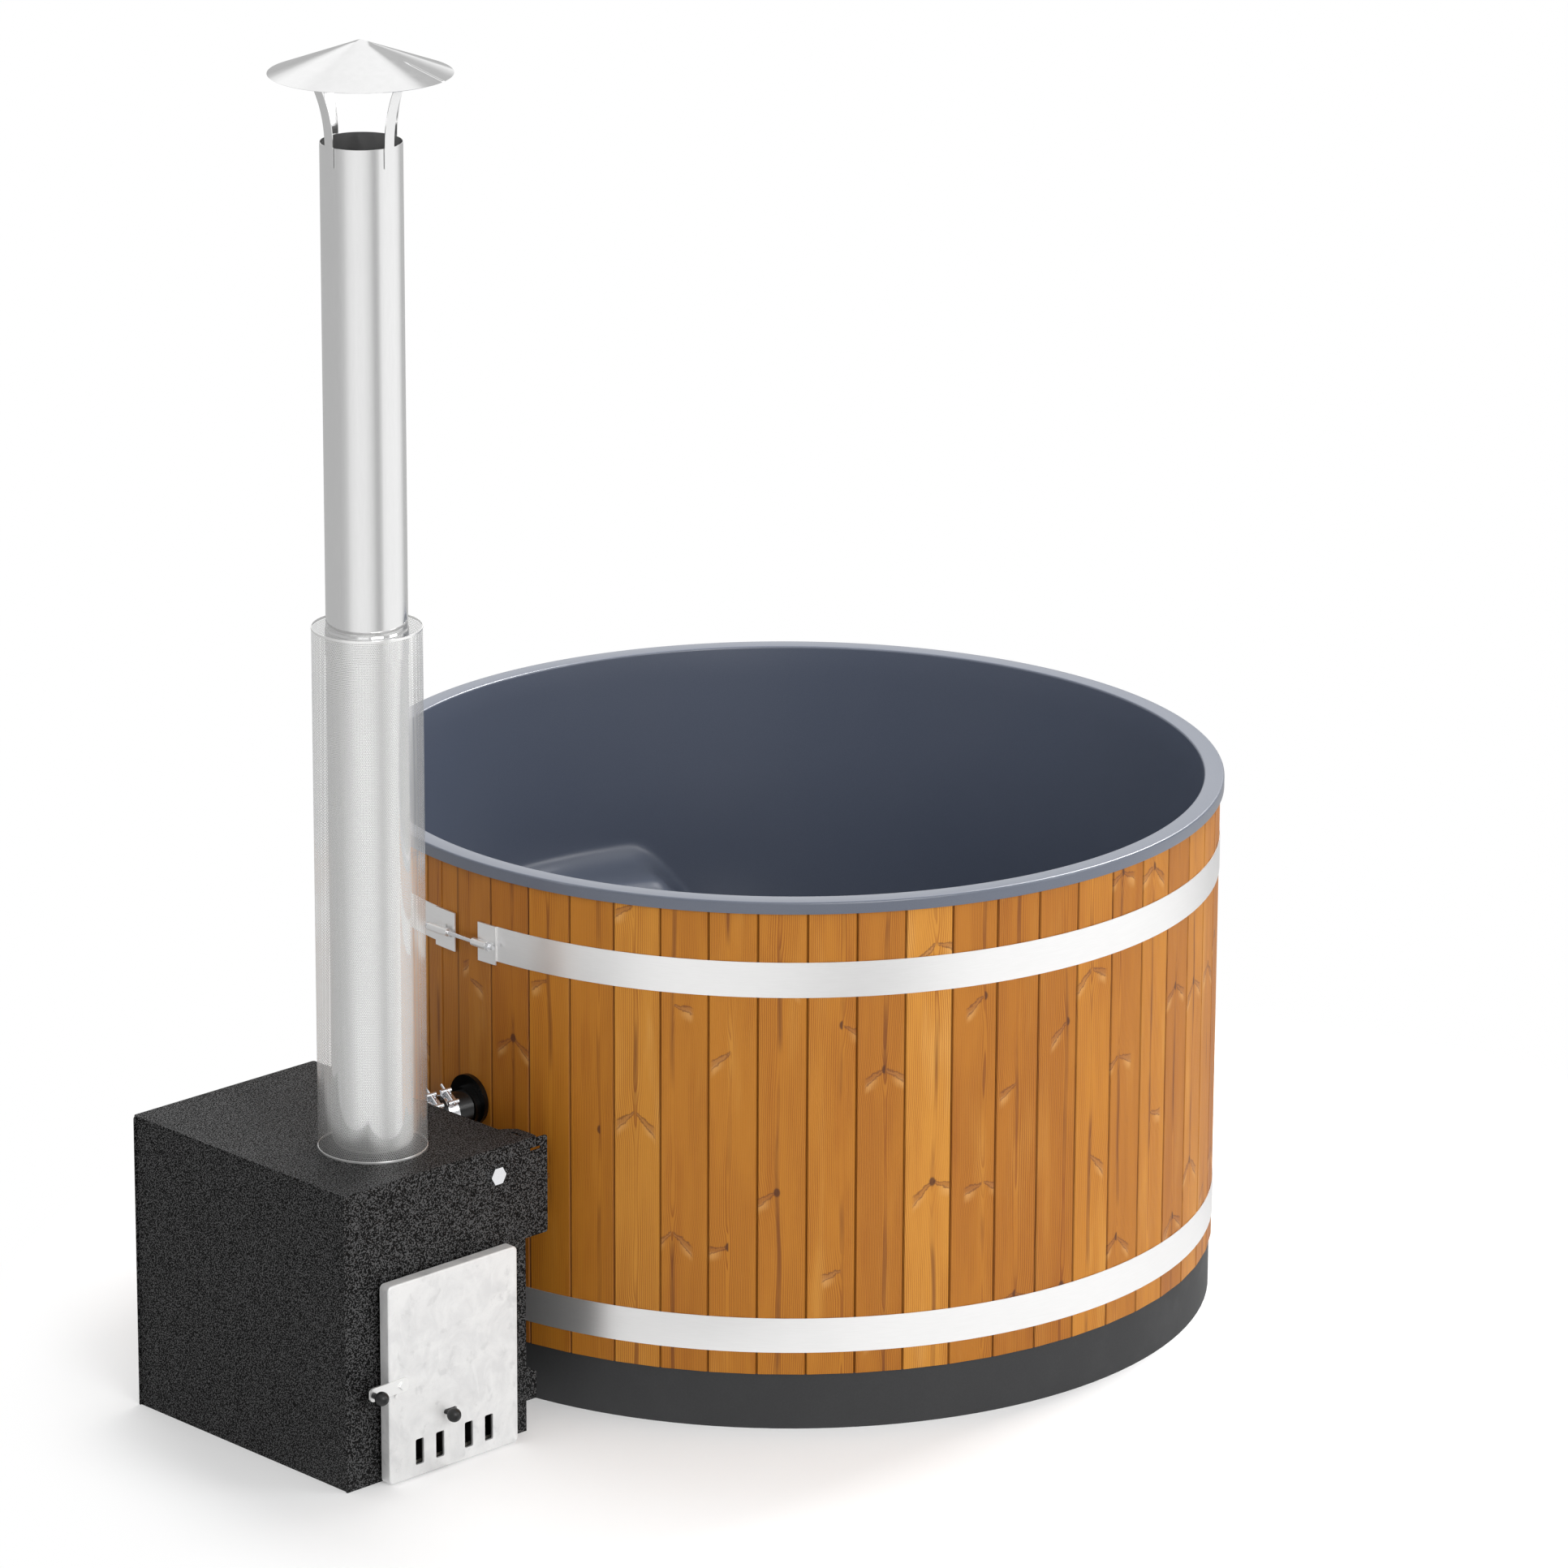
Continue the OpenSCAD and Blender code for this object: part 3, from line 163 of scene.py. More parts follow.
# Materials
def wood_boards():
    """Oiled heat-treated pine sawn through the heart: straight rings, a dark pith line, and knots
    that leave the pith as a pair of wings towards the board's edges."""
    s = Shader("wood_boards", Specular_IOR_Level=0.32)
    x, y, z = s.split()
    turn = s.math("DIVIDE", s.math("SUBTRACT", s.math("ARCTAN2", y, x), FIRST_JOINT), PITCH)
    number = s.math("FLOOR", turn)
    across = s.math("MULTIPLY", s.math("SUBTRACT", s.math("SUBTRACT", turn, number), 0.5), PITCH * CLAD_R)

    def own(seed, more=0.0):
        """Three random numbers of a board, and of a place on it."""
        n = s.add("ShaderNodeTexWhiteNoise", {"noise_dimensions": "2D"},
                  Vector=s.join(s.math("ADD", number, seed), more, 0.0))
        return s.split(n.outputs["Color"])

    def field(fine_across, fine_along, detail=2.0, rough=0.5, seed=0.0):
        """Noise stretched along a board, with its own stretch for each board."""
        return s.noise(1.0, detail, rough, vector=s.join(
            s.math("MULTIPLY", across, fine_across), s.math("MULTIPLY", z, fine_along),
            s.math("MULTIPLY_ADD", number, 3.7, seed)))

    r1, r2, r3 = own(3.0)
    r4, r5, _ = own(57.0)
    pith = s.math("MULTIPLY_ADD", s.math("SUBTRACT", r1, 0.5), 0.040,
                  s.math("MULTIPLY", s.math("SUBTRACT", field(0.0, 2.6), 0.5), 0.022))
    side = s.math("SUBTRACT", across, pith)
    reach = s.math("ABSOLUTE", side)

    # whorls: rows of knots up the board, each with its own slope on either side of the pith
    spacing = s.math("MULTIPLY_ADD", r2, 0.16, 0.34)
    climb = s.math("ADD", s.math("DIVIDE", z, spacing), s.math("MULTIPLY", r3, 7.0))
    whorl = s.math("FLOOR", climb)
    local = s.math("MULTIPLY", s.math("SUBTRACT", s.math("SUBTRACT", climb, whorl), 0.5), spacing)
    k1, k2, k3 = own(11.0, s.math("MULTIPLY_ADD", s.math("SIGN", side), 0.37, whorl))
    wobble = s.math("MULTIPLY", s.math("SUBTRACT", field(60.0, 60.0, 3.0), 0.5), 0.012)
    slope = s.math("MULTIPLY_ADD", k1, 0.75, 0.25)
    drop = s.math("ADD", s.math("MULTIPLY_ADD", reach, slope, local), wobble)
    away = s.math("DIVIDE", s.math("ABSOLUTE", drop),
                  s.math("SQRT", s.math("MULTIPLY_ADD", slope, slope, 1.0)))
    there = s.math("MULTIPLY", s.math("GREATER_THAN", k2, 0.30), s.range(reach, 0.040, 0.030))
    there = s.math("MULTIPLY", there, s.range(reach, 0.0005, 0.004))
    half = s.math("MULTIPLY_ADD", reach, 0.15, 0.0012)
    rough_edge = s.math("MULTIPLY_ADD", s.math("SUBTRACT", field(300.0, 300.0, 3.0), 0.5), 0.006,
                        s.math("SUBTRACT", away, half))
    wing = s.math("MULTIPLY", s.range(rough_edge, 0.0012, -0.0010), there)
    rim = s.math("MULTIPLY", s.range(s.math("ABSOLUTE", rough_edge), 0.0022, 0.0003), there)
    below = s.math("MULTIPLY", s.range(drop, 0.0, -0.006), s.range(drop, -0.026, -0.008))
    pale = s.math("MULTIPLY", s.math("MULTIPLY", below, s.range(reach, 0.006, 0.030)), there)
    near = s.math("MULTIPLY", s.range(away, 0.050, 0.0), s.math("GREATER_THAN", k2, 0.30))

    # rings: nearly straight lines that close over the pith and bend round the knots
    bend = s.math("MULTIPLY", near, s.math("MULTIPLY", s.math("SIGN", drop), 0.0035))
    ring_at = s.math("ADD", s.math("SQRT", s.math("MULTIPLY_ADD", reach, reach, 0.00002)), bend)
    ring_at = s.math("ADD", ring_at, s.math("MULTIPLY", s.math("SUBTRACT", field(9.0, 2.2, 3.0), 0.5), 0.016))
    rings = s.math("FRACT", s.math("MULTIPLY", ring_at, s.math("MULTIPLY_ADD", r4, 130.0, 240.0)))
    late = s.math("MULTIPLY", s.range(rings, 0.30, 0.86), s.range(rings, 1.0, 0.90))
    fade = s.range(field(30.0, 3.0, 2.0, seed=40.0), 0.35, 0.62, 0.25, 1.0)
    fibre = field(1000.0, 12.0, 4.0, 0.65)
    cloud = field(20.0, 2.6, 3.0, seed=80.0)
    heart = s.math("MULTIPLY", s.range(reach, 0.0065, 0.0),
                   s.range(field(8.0, 3.4, 2.0, seed=120.0), 0.44, 0.62))

    def tinted(base, tint):
        return s.mix(1.0, base, tint, "MULTIPLY")

    tone = s.ramp(r5, [(0.0, (0.375, 0.128, 0.0085)), (0.4, (0.440, 0.162, 0.012)),
                       (0.75, (0.490, 0.190, 0.016)), (1.0, (0.560, 0.240, 0.030))])
    colour = s.mix(s.math("MULTIPLY", s.math("MULTIPLY", late, fade), 0.85),
                   tinted(tone, (1.07, 1.10, 1.2)), tinted(tone, (0.62, 0.47, 0.36)))
    colour = s.mix(s.range(cloud, 0.55, 0.78, 0.0, 0.7), colour, tinted(colour, (1.20, 1.42, 2.6)))
    colour = s.mix(s.range(cloud, 0.46, 0.24, 0.0, 0.6), colour, tinted(colour, (0.78, 0.66, 0.52)))
    colour = s.mix(s.range(fibre, 0.50, 0.80, 0.0, 0.30), colour, tinted(colour, (0.70, 0.60, 0.52)))
    colour = s.mix(s.math("MULTIPLY", heart, 0.75), colour, (0.160, 0.045, 0.006))
    colour = s.mix(s.math("MULTIPLY", pale, 0.50), colour, (0.70, 0.38, 0.12))
    colour = s.mix(s.math("MULTIPLY", wing, 0.50), colour,
                   s.mix(k3, (0.36, 0.165, 0.060), (0.26, 0.085, 0.018)))
    colour = s.mix(s.math("MULTIPLY", rim, 0.60), colour, (0.130, 0.036, 0.010))
    knot = s.math("MULTIPLY", s.math("GREATER_THAN", k3, 0.72), s.range(
        s.math("SQRT", s.math("ADD", s.math("MULTIPLY", side, side), s.math("MULTIPLY", s.math(
            "MULTIPLY", local, local), 0.5))), 0.0075, 0.0040))
    colour = s.mix(s.math("MULTIPLY", knot, 0.85), colour, (0.075, 0.022, 0.008))
    groove = s.range(s.math("ABSOLUTE", across), PITCH * CLAD_R / 2 - 0.0035, PITCH * CLAD_R / 2 - 0.0008)
    colour = s.mix(s.math("MULTIPLY", groove, 0.55), colour, (0.070, 0.020, 0.003))
    height = s.math("MULTIPLY_ADD", late, -0.5, s.math("MULTIPLY", fibre, 0.6))
    return s.set(
        Base_Color=colour,
        Roughness=s.range(fibre, 0.2, 0.8, 0.42, 0.60),
        Normal=s.bump(height, 0.0003, 0.5),
    )


def liner_acrylic():
    """Moulded acrylic in blue-grey with the faintest speckle."""
    s = Shader("liner_acrylic", Coat_Weight=1.0, Coat_Roughness=0.36, Coat_IOR=1.6)
    speck = s.noise(900.0, 2.0, 0.6)
    broad = s.noise(2.4, 2.0)
    colour = s.mix(s.range(speck, 0.35, 0.7), (0.070, 0.086, 0.126), (0.088, 0.105, 0.146))
    colour = s.mix(s.range(broad, 0.3, 0.7, 0.0, 0.18), colour, (0.120, 0.132, 0.165))
    return s.set(Base_Color=colour, Roughness=s.range(speck, 0.3, 0.7, 0.30, 0.38),
                 Normal=s.bump(speck, 0.00005, 0.3))


def brushed(name, colour, rough, fine=(900.0, 900.0, 30.0), metallic=1.0, depth=0.00004):
    """Satin sheet steel with fine streaks along one direction and soft stains."""
    s = Shader(name, Metallic=metallic)
    streak = s.noise(1.0, 3.0, 0.6, vector=s.stretch(*fine))
    stain = s.noise(7.0, 3.0, 0.55)
    lit = s.mix(s.range(streak, 0.3, 0.7), tuple(c * 0.97 for c in colour), colour)
    lit = s.mix(s.range(stain, 0.45, 0.75, 0.0, 0.25), lit, tuple(c * 0.93 for c in colour))
    return s.set(
        Base_Color=lit,
        Roughness=s.math("ADD", s.range(streak, 0.3, 0.7, rough - 0.02, rough + 0.02),
                         s.range(stain, 0.3, 0.7, 0.0, 0.02)),
        Normal=s.bump(streak, depth, 0.35),
    )


def hammered_paint():
    """Black stove paint with a coarse hammered grain; its ridges get a lighter base colour, a painted glint.
    """
    s = Shader("steel_black", Specular_IOR_Level=0.12)
    lumps = s.noise(420.0, 0.0, 0.5)
    painted_glint = s.range(lumps, 0.49, 0.61)
    # painted glint: the hammered ridges are lighter in the base colour, standing in for their shine
    colour = s.mix(painted_glint, (0.0003, 0.0003, 0.0003), (0.078, 0.078, 0.079))
    return s.set(Base_Color=colour, Roughness=s.range(painted_glint, 0.0, 1.0, 0.62, 0.36),
                 Normal=s.bump(lumps, 0.0012, 0.7))


def dark_steel(name, colour, rough):
    """Unpainted steel that the fire has blackened."""
    s = Shader(name, Metallic=0.55)
    soot = s.noise(40.0, 5.0, 0.6)
    warm = s.noise(11.0, 3.0)
    lit = s.mix(s.range(soot, 0.35, 0.7), tuple(c * 0.6 for c in colour), colour)
    lit = s.mix(s.range(warm, 0.55, 0.8, 0.0, 0.25), lit, (0.12, 0.055, 0.028))
    return s.set(Base_Color=lit, Roughness=s.range(soot, 0.3, 0.7, rough, rough + 0.2),
                 Normal=s.bump(soot, 0.0006, 0.5))


def cast_door():
    """Pale cast metal, mottled by its mould."""
    s = Shader("door_cast", Metallic=0.35)
    cloud = s.noise(16.0, 5.0, 0.62, distort=0.6)
    smear = s.noise(1.0, 4.0, 0.6, vector=s.stretch(34.0, 34.0, 12.0), distort=0.8)
    pores = s.noise(420.0, 2.0, 0.6)
    patches = s.noise(34.0, 4.0, 0.60, distort=0.4)
    colour = s.mix(s.range(cloud, 0.35, 0.65), (0.72, 0.72, 0.72), (0.82, 0.82, 0.815))
    colour = s.mix(s.range(smear, 0.52, 0.72, 0.0, 0.5), colour, (0.87, 0.87, 0.865))
    colour = s.mix(s.range(patches, 0.56, 0.70, 0.0, 0.5), colour, (0.60, 0.60, 0.60))
    colour = s.mix(s.range(pores, 0.62, 0.76, 0.0, 0.25), colour, (0.50, 0.50, 0.50))

    # painted shade on the walls of the air slots, behind the door's outer skin
    x, y, z = s.split()
    door_lo, door_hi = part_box("door")
    slot_side, slot_low, slot_high, skin = 0.030, 0.020, 0.085, 0.0022

    def between(value, lo, hi):
        return s.math("MULTIPLY", s.math("GREATER_THAN", value, lo), s.math("LESS_THAN", value, hi))

    inside = s.math("MULTIPLY", s.range(y, door_lo.y + skin, door_lo.y + 2.5 * skin),
                    between(z, slot_low, slot_high))
    inside = s.math("MULTIPLY", inside, between(x, door_lo.x + slot_side, door_hi.x - slot_side))
    # painted shade: the slot walls go near black, as if little light reached them
    colour = s.mix(s.math("MULTIPLY", inside, 0.97), colour, (0.02, 0.02, 0.02))
    return s.set(Base_Color=colour, Roughness=s.range(cloud, 0.3, 0.7, 0.38, 0.52),
                 Normal=s.bump(s.math("ADD", s.math("MULTIPLY", cloud, 2.0), pores), 0.0004, 0.4))


def smooth_dark(name, colour, rough):
    """Rubber or moulded plastic with a fine grain."""
    s = Shader(name)
    fine = s.noise(300.0, 3.0, 0.55)
    dust = s.noise(9.0, 4.0, 0.6)
    lit = s.mix(s.range(fine, 0.3, 0.7), tuple(c * 0.85 for c in colour), colour)
    lit = s.mix(s.range(dust, 0.5, 0.8, 0.0, 0.3), lit, tuple(min(1.0, c * 1.35 + 0.004) for c in colour))
    return s.set(Base_Color=lit, Roughness=s.range(dust, 0.3, 0.7, rough - 0.04, rough + 0.06),
                 Normal=s.bump(fine, 0.00015, 0.4))


def rope():
    """Twisted fibre rope."""
    s = Shader("rope_seal", Roughness=0.9)
    wave = s.add("ShaderNodeTexWave", {"bands_direction": "DIAGONAL"}, Vector=s.space, Scale=90.0,
                 Distortion=1.5, Detail=2.0).outputs["Fac"]
    colour = s.mix(wave, (0.28, 0.26, 0.22), (0.60, 0.57, 0.50))
    return s.set(Base_Color=colour, Normal=s.bump(wave, 0.0012, 0.8))


def joist_wood():
    """Rough sawn pale timber."""
    s = Shader("joist_timber", Roughness=0.8)
    grain = s.noise(1.0, 4.0, 0.6, vector=s.stretch(6.0, 160.0, 160.0))
    colour = s.mix(s.range(grain, 0.3, 0.7), (0.45, 0.29, 0.14), (0.66, 0.48, 0.28))
    return s.set(Base_Color=colour, Normal=s.bump(grain, 0.0006, 0.6))


MATS = {
    "liner_acrylic": liner_acrylic(),
    "wood_boards": wood_boards(),
    "base_plastic": smooth_dark("base_plastic", (0.023, 0.0235, 0.025), 0.60),
    "joist_timber": joist_wood(),
    "steel_band": brushed("steel_band", (0.93, 0.925, 0.92), 0.30, fine=(30.0, 30.0, 900.0),
                          metallic=0.8, depth=0.00001),
    "steel_zinc": brushed("steel_zinc", (0.83, 0.84, 0.86), 0.20, fine=(200.0, 200.0, 200.0)),
    "rubber_black": smooth_dark("rubber_black", (0.0015, 0.0015, 0.0015), 0.22),
    "steel_pipe": brushed("steel_pipe", (0.75, 0.75, 0.75), 0.25),
    "plastic_black": smooth_dark("plastic_black", (0.004, 0.004, 0.004), 0.25),
    "plastic_grey": smooth_dark("plastic_grey", (0.30, 0.30, 0.31), 0.45),
    "steel_black": hammered_paint(),
    "steel_sooty": dark_steel("steel_sooty", (0.035, 0.033, 0.031), 0.55),
    "iron_grate": dark_steel("iron_grate", (0.05, 0.048, 0.046), 0.6),
    "rope_seal": rope(),
    "door_cast": cast_door(),
    "steel_latch": brushed("steel_latch", (0.90, 0.90, 0.89), 0.32, fine=(60.0, 400.0, 900.0), metallic=0.7),
    "knob_black": smooth_dark("knob_black", (0.006, 0.006, 0.006), 0.40),
    "steel_dark": dark_steel("steel_dark", (0.09, 0.088, 0.085), 0.45),
    "steel_flue": brushed("steel_flue", (0.86, 0.86, 0.86), 0.09, metallic=0.93, depth=0.000005),
    "steel_guard": brushed("steel_guard", (0.93, 0.93, 0.92), 0.22, metallic=0.72, depth=0.00001),
    "steel_cap": brushed("steel_cap", (0.91, 0.91, 0.91), 0.07, fine=(60.0, 60.0, 60.0), depth=0.000003),
}
for part in frame["record"]["subparts"]:
    dress(part["node"], MATS[part["material_slot"]])


# Mesh helpers
def mesh_piece(name, points, faces, body, slot, stands_for=(), smooth=40.0):
    """A piece from points and faces, riding on a body, with the slot's material."""
    mesh = bpy.data.meshes.new(name)
    mesh.from_pydata([tuple(p) for p in points], [], [tuple(f) for f in faces])
    mesh.validate()
    bm = bmesh.new()
    bm.from_mesh(mesh)
    bmesh.ops.recalc_face_normals(bm, faces=bm.faces)
    bm.to_mesh(mesh)
    bm.free()
    piece = bpy.data.objects.new(name, mesh)
    bpy.context.scene.collection.objects.link(piece)
    if smooth:
        mesh.shade_smooth()
        mesh.set_sharp_from_angle(angle=math.radians(smooth))
    mesh.materials.append(MATS[slot])
    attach(piece, body)
    if stands_for:
        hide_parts(*stands_for)
    return piece


def turned(outline, segments, centre=(0.0, 0.0)):
    """Points and faces of a closed outline of (radius, height) turned about an upright axis."""
    points, faces = [], []
    count = len(outline)
    for i in range(segments):
        a = TAU * i / segments
        points += [[centre[0] + r * math.cos(a), centre[1] + r * math.sin(a), h] for r, h in outline]
    for i in range(segments):
        j = (i + 1) % segments
        for k in range(count):
            m = (k + 1) % count
            faces.append((i * count + k, j * count + k, j * count + m, i * count + m))
    return points, faces


def arc(cx, cz, r, a0, a1, steps=10):
    """Points of an arc round (cx, cz), with angles in degrees."""
    return [
        (cx + r * math.cos(math.radians(a0 + (a1 - a0) * i / steps)),
         cz + r * math.sin(math.radians(a0 + (a1 - a0) * i / steps)))
        for i in range(steps + 1)
    ]


def smooth_step(x):
    x = min(1.0, max(0.0, x))
    return x * x * (3 - 2 * x)


# Liner
LINER_T, AXIS_GAP = 6 * MM, 0.1 * MM
LIP_H, LIP_T, RIM_ROUND = 22 * MM, 4 * MM, 4 * MM
LINER_R = 762.66 * MM
BENCH_Z, BENCH_W, FLOOR_Z, SOFT_R = 430 * MM, 315 * MM, 120 * MM, 40 * MM
SEAT_H, SEAT_D, SEAT_HALF, SEAT_COVE = 145 * MM, 200 * MM, math.radians(28), 75 * MM
SEAT_BLEND, NOTHING = 60 * MM, 1e-6
LINER_SEGMENTS = 288
RIM_STEPS = 6


def seat_share(r, turn):
    """How far the raised seat lifts the bench at a radius and direction, from 0 to 1."""
    front = smooth_step((r - (LINER_R - SEAT_D - 0.055)) / 0.15)
    return seat_ends(turn) * front


def seat_ends(turn):
    away = abs((turn - math.pi / 2 + math.pi) % TAU - math.pi)
    return smooth_step((SEAT_HALF * 1.22 - away) / (SEAT_HALF * 0.50))


def seat_cove(r, z, share):
    """The inside line with a wider sweep where the wall meets the seat."""
    start = LINER_R - BENCH_W + SOFT_R
    if share <= 0 or r < start or z < BENCH_Z - NOTHING:
        return r, z
    if z <= BENCH_Z + NOTHING:
        return r + share * (r - start) * ((LINER_R - SEAT_COVE - start) / (LINER_R - SOFT_R - start) - 1), z
    if z <= BENCH_Z + SOFT_R + NOTHING:
        a = math.atan2(z - BENCH_Z - SOFT_R, r - LINER_R + SOFT_R)
        grow = share * (SEAT_COVE - SOFT_R)
        return r - grow + grow * math.cos(a), z + grow + grow * math.sin(a)
    return r, z + share * (SEAT_COVE - SOFT_R) * (TUB_H - z) / (TUB_H - BENCH_Z - SOFT_R)


def make_liner():
    well_r = LINER_R - BENCH_W
    inside = (
        [(AXIS_GAP, FLOOR_Z)]
        + arc(well_r - SOFT_R, FLOOR_Z + SOFT_R, SOFT_R, -90, 0)
        + arc(well_r + SOFT_R, BENCH_Z - SOFT_R, SOFT_R, 180, 90)
        + [(well_r + SOFT_R + 0.012 * i, BENCH_Z) for i in range(1, 20)]
        + arc(LINER_R - SOFT_R, BENCH_Z + SOFT_R, SOFT_R, -90, 0)
        + [(LINER_R, BENCH_Z + 0.06 + (TUB_H - BENCH_Z - 0.08) * i / 12) for i in range(12)]
        + arc(LINER_R + RIM_ROUND, TUB_H - RIM_ROUND, RIM_ROUND, 180, 90, RIM_STEPS)
    )
    outside = (
        arc(RIM_R - RIM_ROUND, TUB_H - RIM_ROUND, RIM_ROUND, 90, 0, RIM_STEPS)
        + [(RIM_R, TUB_H - LIP_H), (RIM_R - LIP_T, TUB_H - LIP_H), (RIM_R - LIP_T, TUB_H - RIM_ROUND)]
        + [(LINER_R + LINER_T, TUB_H - RIM_ROUND)]
        + arc(LINER_R - SOFT_R, BENCH_Z + SOFT_R, SOFT_R + LINER_T, 0, -90)
        + arc(well_r + SOFT_R, BENCH_Z - SOFT_R, SOFT_R - LINER_T, 90, 180)
        + arc(well_r - SOFT_R, FLOOR_Z + SOFT_R, SOFT_R + LINER_T, 0, -90)
        + [(AXIS_GAP, FLOOR_Z - LINER_T)]
    )
    outline = inside + outside
    points, faces = turned(outline, LINER_SEGMENTS)
    rise = TUB_H - BENCH_Z
    for i in range(LINER_SEGMENTS):
        turn = TAU * i / LINER_SEGMENTS
        for k in range(len(inside) - RIM_STEPS - 1):
            p = points[i * len(outline) + k]
            r0, z0 = outline[k]
            r, z = seat_cove(r0, z0, seat_ends(turn))
            p[0], p[1], p[2] = p[0] * r / r0, p[1] * r / r0, p[2] + z - z0
            if r > LINER_R - SEAT_D - SEAT_BLEND and z >= BENCH_Z - NOTHING:
                lift = SEAT_H * seat_share(r, turn)
                p[2] = z + lift * (1 - (z - BENCH_Z) / rise) ** 1.8
    return mesh_piece("moulded_liner", points, faces, "root", "liner_acrylic", ["liner"], smooth=50)


make_liner()


# Perforated guard
HOLE_PITCH, HOLE_SHARE, GUARD_EDGE, SHEET_T = 3.63 * MM, 0.40, 3 * MM, 1.5 * MM
HEM_SEGMENTS = 128


def make_guard():
    """The guard's sheet: six-sided holes in staggered rows between two plain edges, in three pieces."""
    around = round(TAU * GUARD_R / HOLE_PITCH)
    row_h = HOLE_PITCH * math.sin(math.radians(60))
    rows = int((GUARD_HI.z - GUARD_LO.z - 2 * GUARD_EDGE) / row_h)
    first = (GUARD_LO.z + GUARD_HI.z - (rows - 1) * row_h) / 2
    step = TAU / around
    corners = [math.radians(30 + 60 * k) for k in range(6)]

    def ring_point(turn, z):
        r = GUARD_R - SHEET_T / 2
        return FLUE_X + r * math.cos(turn), FLUE_Y + r * math.sin(turn), z

    def hole_points(row):
        return [
            ring_point(step * (i + row % 2 / 2 + HOLE_SHARE * math.cos(a)),
                       first + row_h * row + HOLE_PITCH * HOLE_SHARE * math.sin(a))
            for i in range(around) for a in corners
        ]

    def part(name, lo, hi):
        points, faces = [], []
        for row in range(lo, hi + 1):
            points += hole_points(row)

        def at(i, row, k):
            return ((row - lo) * around + i % around) * 6 + k

        for row in range(lo, hi + 1):
            lean = row % 2
            for i in range(around):
                east, ne, nw = (i + 1, row), (i + lean, row + 1), (i + lean - 1, row + 1)
                if row < hi or hi == rows - 1:
                    faces.append((at(i, row, 5), at(*east, 3), at(*east, 2), at(i, row, 0)))
                if row < hi:
                    faces += [
                        (at(i, row, 0), at(*ne, 4), at(*ne, 3), at(i, row, 1)),
                        (at(i, row, 1), at(*nw, 5), at(*nw, 4), at(i, row, 2)),
                        (at(i, row, 0), at(*east, 2), at(*ne, 4)),
                        (at(i, row, 1), at(*ne, 3), at(*nw, 5)),
                    ]
        edges = []
        if lo == 0:
            edges.append((GUARD_LO.z, lo, (3, 4, 5)))
        if hi == rows - 1:
            edges.append((GUARD_HI.z, hi, (2, 1, 0)))
        for z, row, order in edges:
            start = len(points)
            chain = [at(i, row, k) for i in range(around) for k in order]
            turns = [step * (i + row % 2 / 2 + HOLE_SHARE * math.cos(corners[k]))
                     for i in range(around) for k in order]
            points += [ring_point(turn, z) for turn in turns]
            count = len(chain)
            for c in range(count):
                n = (c + 1) % count
                faces.append((chain[c], chain[n], start + n, start + c))
        return mesh_piece(name, points, faces, "root", "steel_guard", ["guard_sleeve"], smooth=0)

    cuts = [0, rows // 3, 2 * rows // 3, rows - 1]
    for k in range(3):
        piece = part(f"guard_sheet_{k + 1}", cuts[k], cuts[k + 1])
        piece.data.shade_smooth()
    for k, low in enumerate((GUARD_LO.z, GUARD_HI.z - GUARD_EDGE)):
        hem = [(GUARD_R - SHEET_T, low), (GUARD_R, low), (GUARD_R, low + GUARD_EDGE),
               (GUARD_R - SHEET_T, low + GUARD_EDGE)]
        mesh_piece(f"guard_hem_{k + 1}", *turned(hem, HEM_SEGMENTS, (FLUE_X, FLUE_Y)), "root", "steel_guard",
                   ["guard_sleeve"])


make_guard()


# Rain cap's legs and lap seam
LEG_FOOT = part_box("cap_legs")[0].z
CAP_LO, CAP_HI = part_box("rain_cap")
CAP_R = (CAP_HI.x - CAP_LO.x) / 2
CAP_T, CAP_H = 1 * MM, 58 * MM
CAP_DROP = CAP_H / CAP_R
FLUE_R, FLUE_TOP, LEG_W, LEG_T = 71 * MM, 2357 * MM, 21 * MM, 1.5 * MM
LEG_BEND_R, LEG_OUT, LEG_TAB = 241 * MM, 39 * MM, 17 * MM
LEG_GAP, TAB_GAP, BEND_STEPS, TAB_STEPS = 0.15 * MM, 0.6 * MM, 16, 8
SEAM_TURN, SEAM_IN, SEAM_W, SEAM_PROUD = math.radians(291), 83 * MM, 9 * MM, 0.5 * MM


def under_cap(r):
    return CAP_HI.z - r * CAP_DROP - CAP_T * math.hypot(1, CAP_DROP) - TAB_GAP


def leg_path():
    """A leg's line of (radius, height): up the pipe, out in an arc, then under the cap."""
    r0 = FLUE_R + LEG_GAP + LEG_T / 2
    line = [(r0, LEG_FOOT), (r0, (LEG_FOOT + FLUE_TOP) / 2)]
    rise = math.sqrt(LEG_BEND_R ** 2 - (LEG_BEND_R - LEG_OUT) ** 2)
    top = under_cap(r0 + LEG_OUT) - 4 * MM
    for i in range(BEND_STEPS + 1):
        h = rise * i / BEND_STEPS
        line.append((r0 + LEG_BEND_R - math.sqrt(LEG_BEND_R ** 2 - h * h),
                     FLUE_TOP + (top - FLUE_TOP) * i / BEND_STEPS))
    for i in range(1, TAB_STEPS + 1):
        r = r0 + LEG_OUT + LEG_T + (LEG_TAB - LEG_T) * i / TAB_STEPS
        line.append((r, under_cap(r) - LEG_T))
    return line


def loft(rows):
    """Points and faces of a tube through rows of points, closed at both ends."""
    n = len(rows[0])
    faces = [(i * n + j, i * n + (j + 1) % n, (i + 1) * n + (j + 1) % n, (i + 1) * n + j)
             for i in range(len(rows) - 1) for j in range(n)]
    faces += [tuple(range(n)), tuple((len(rows) - 1) * n + j for j in range(n))]
    return [p for row in rows for p in row], faces


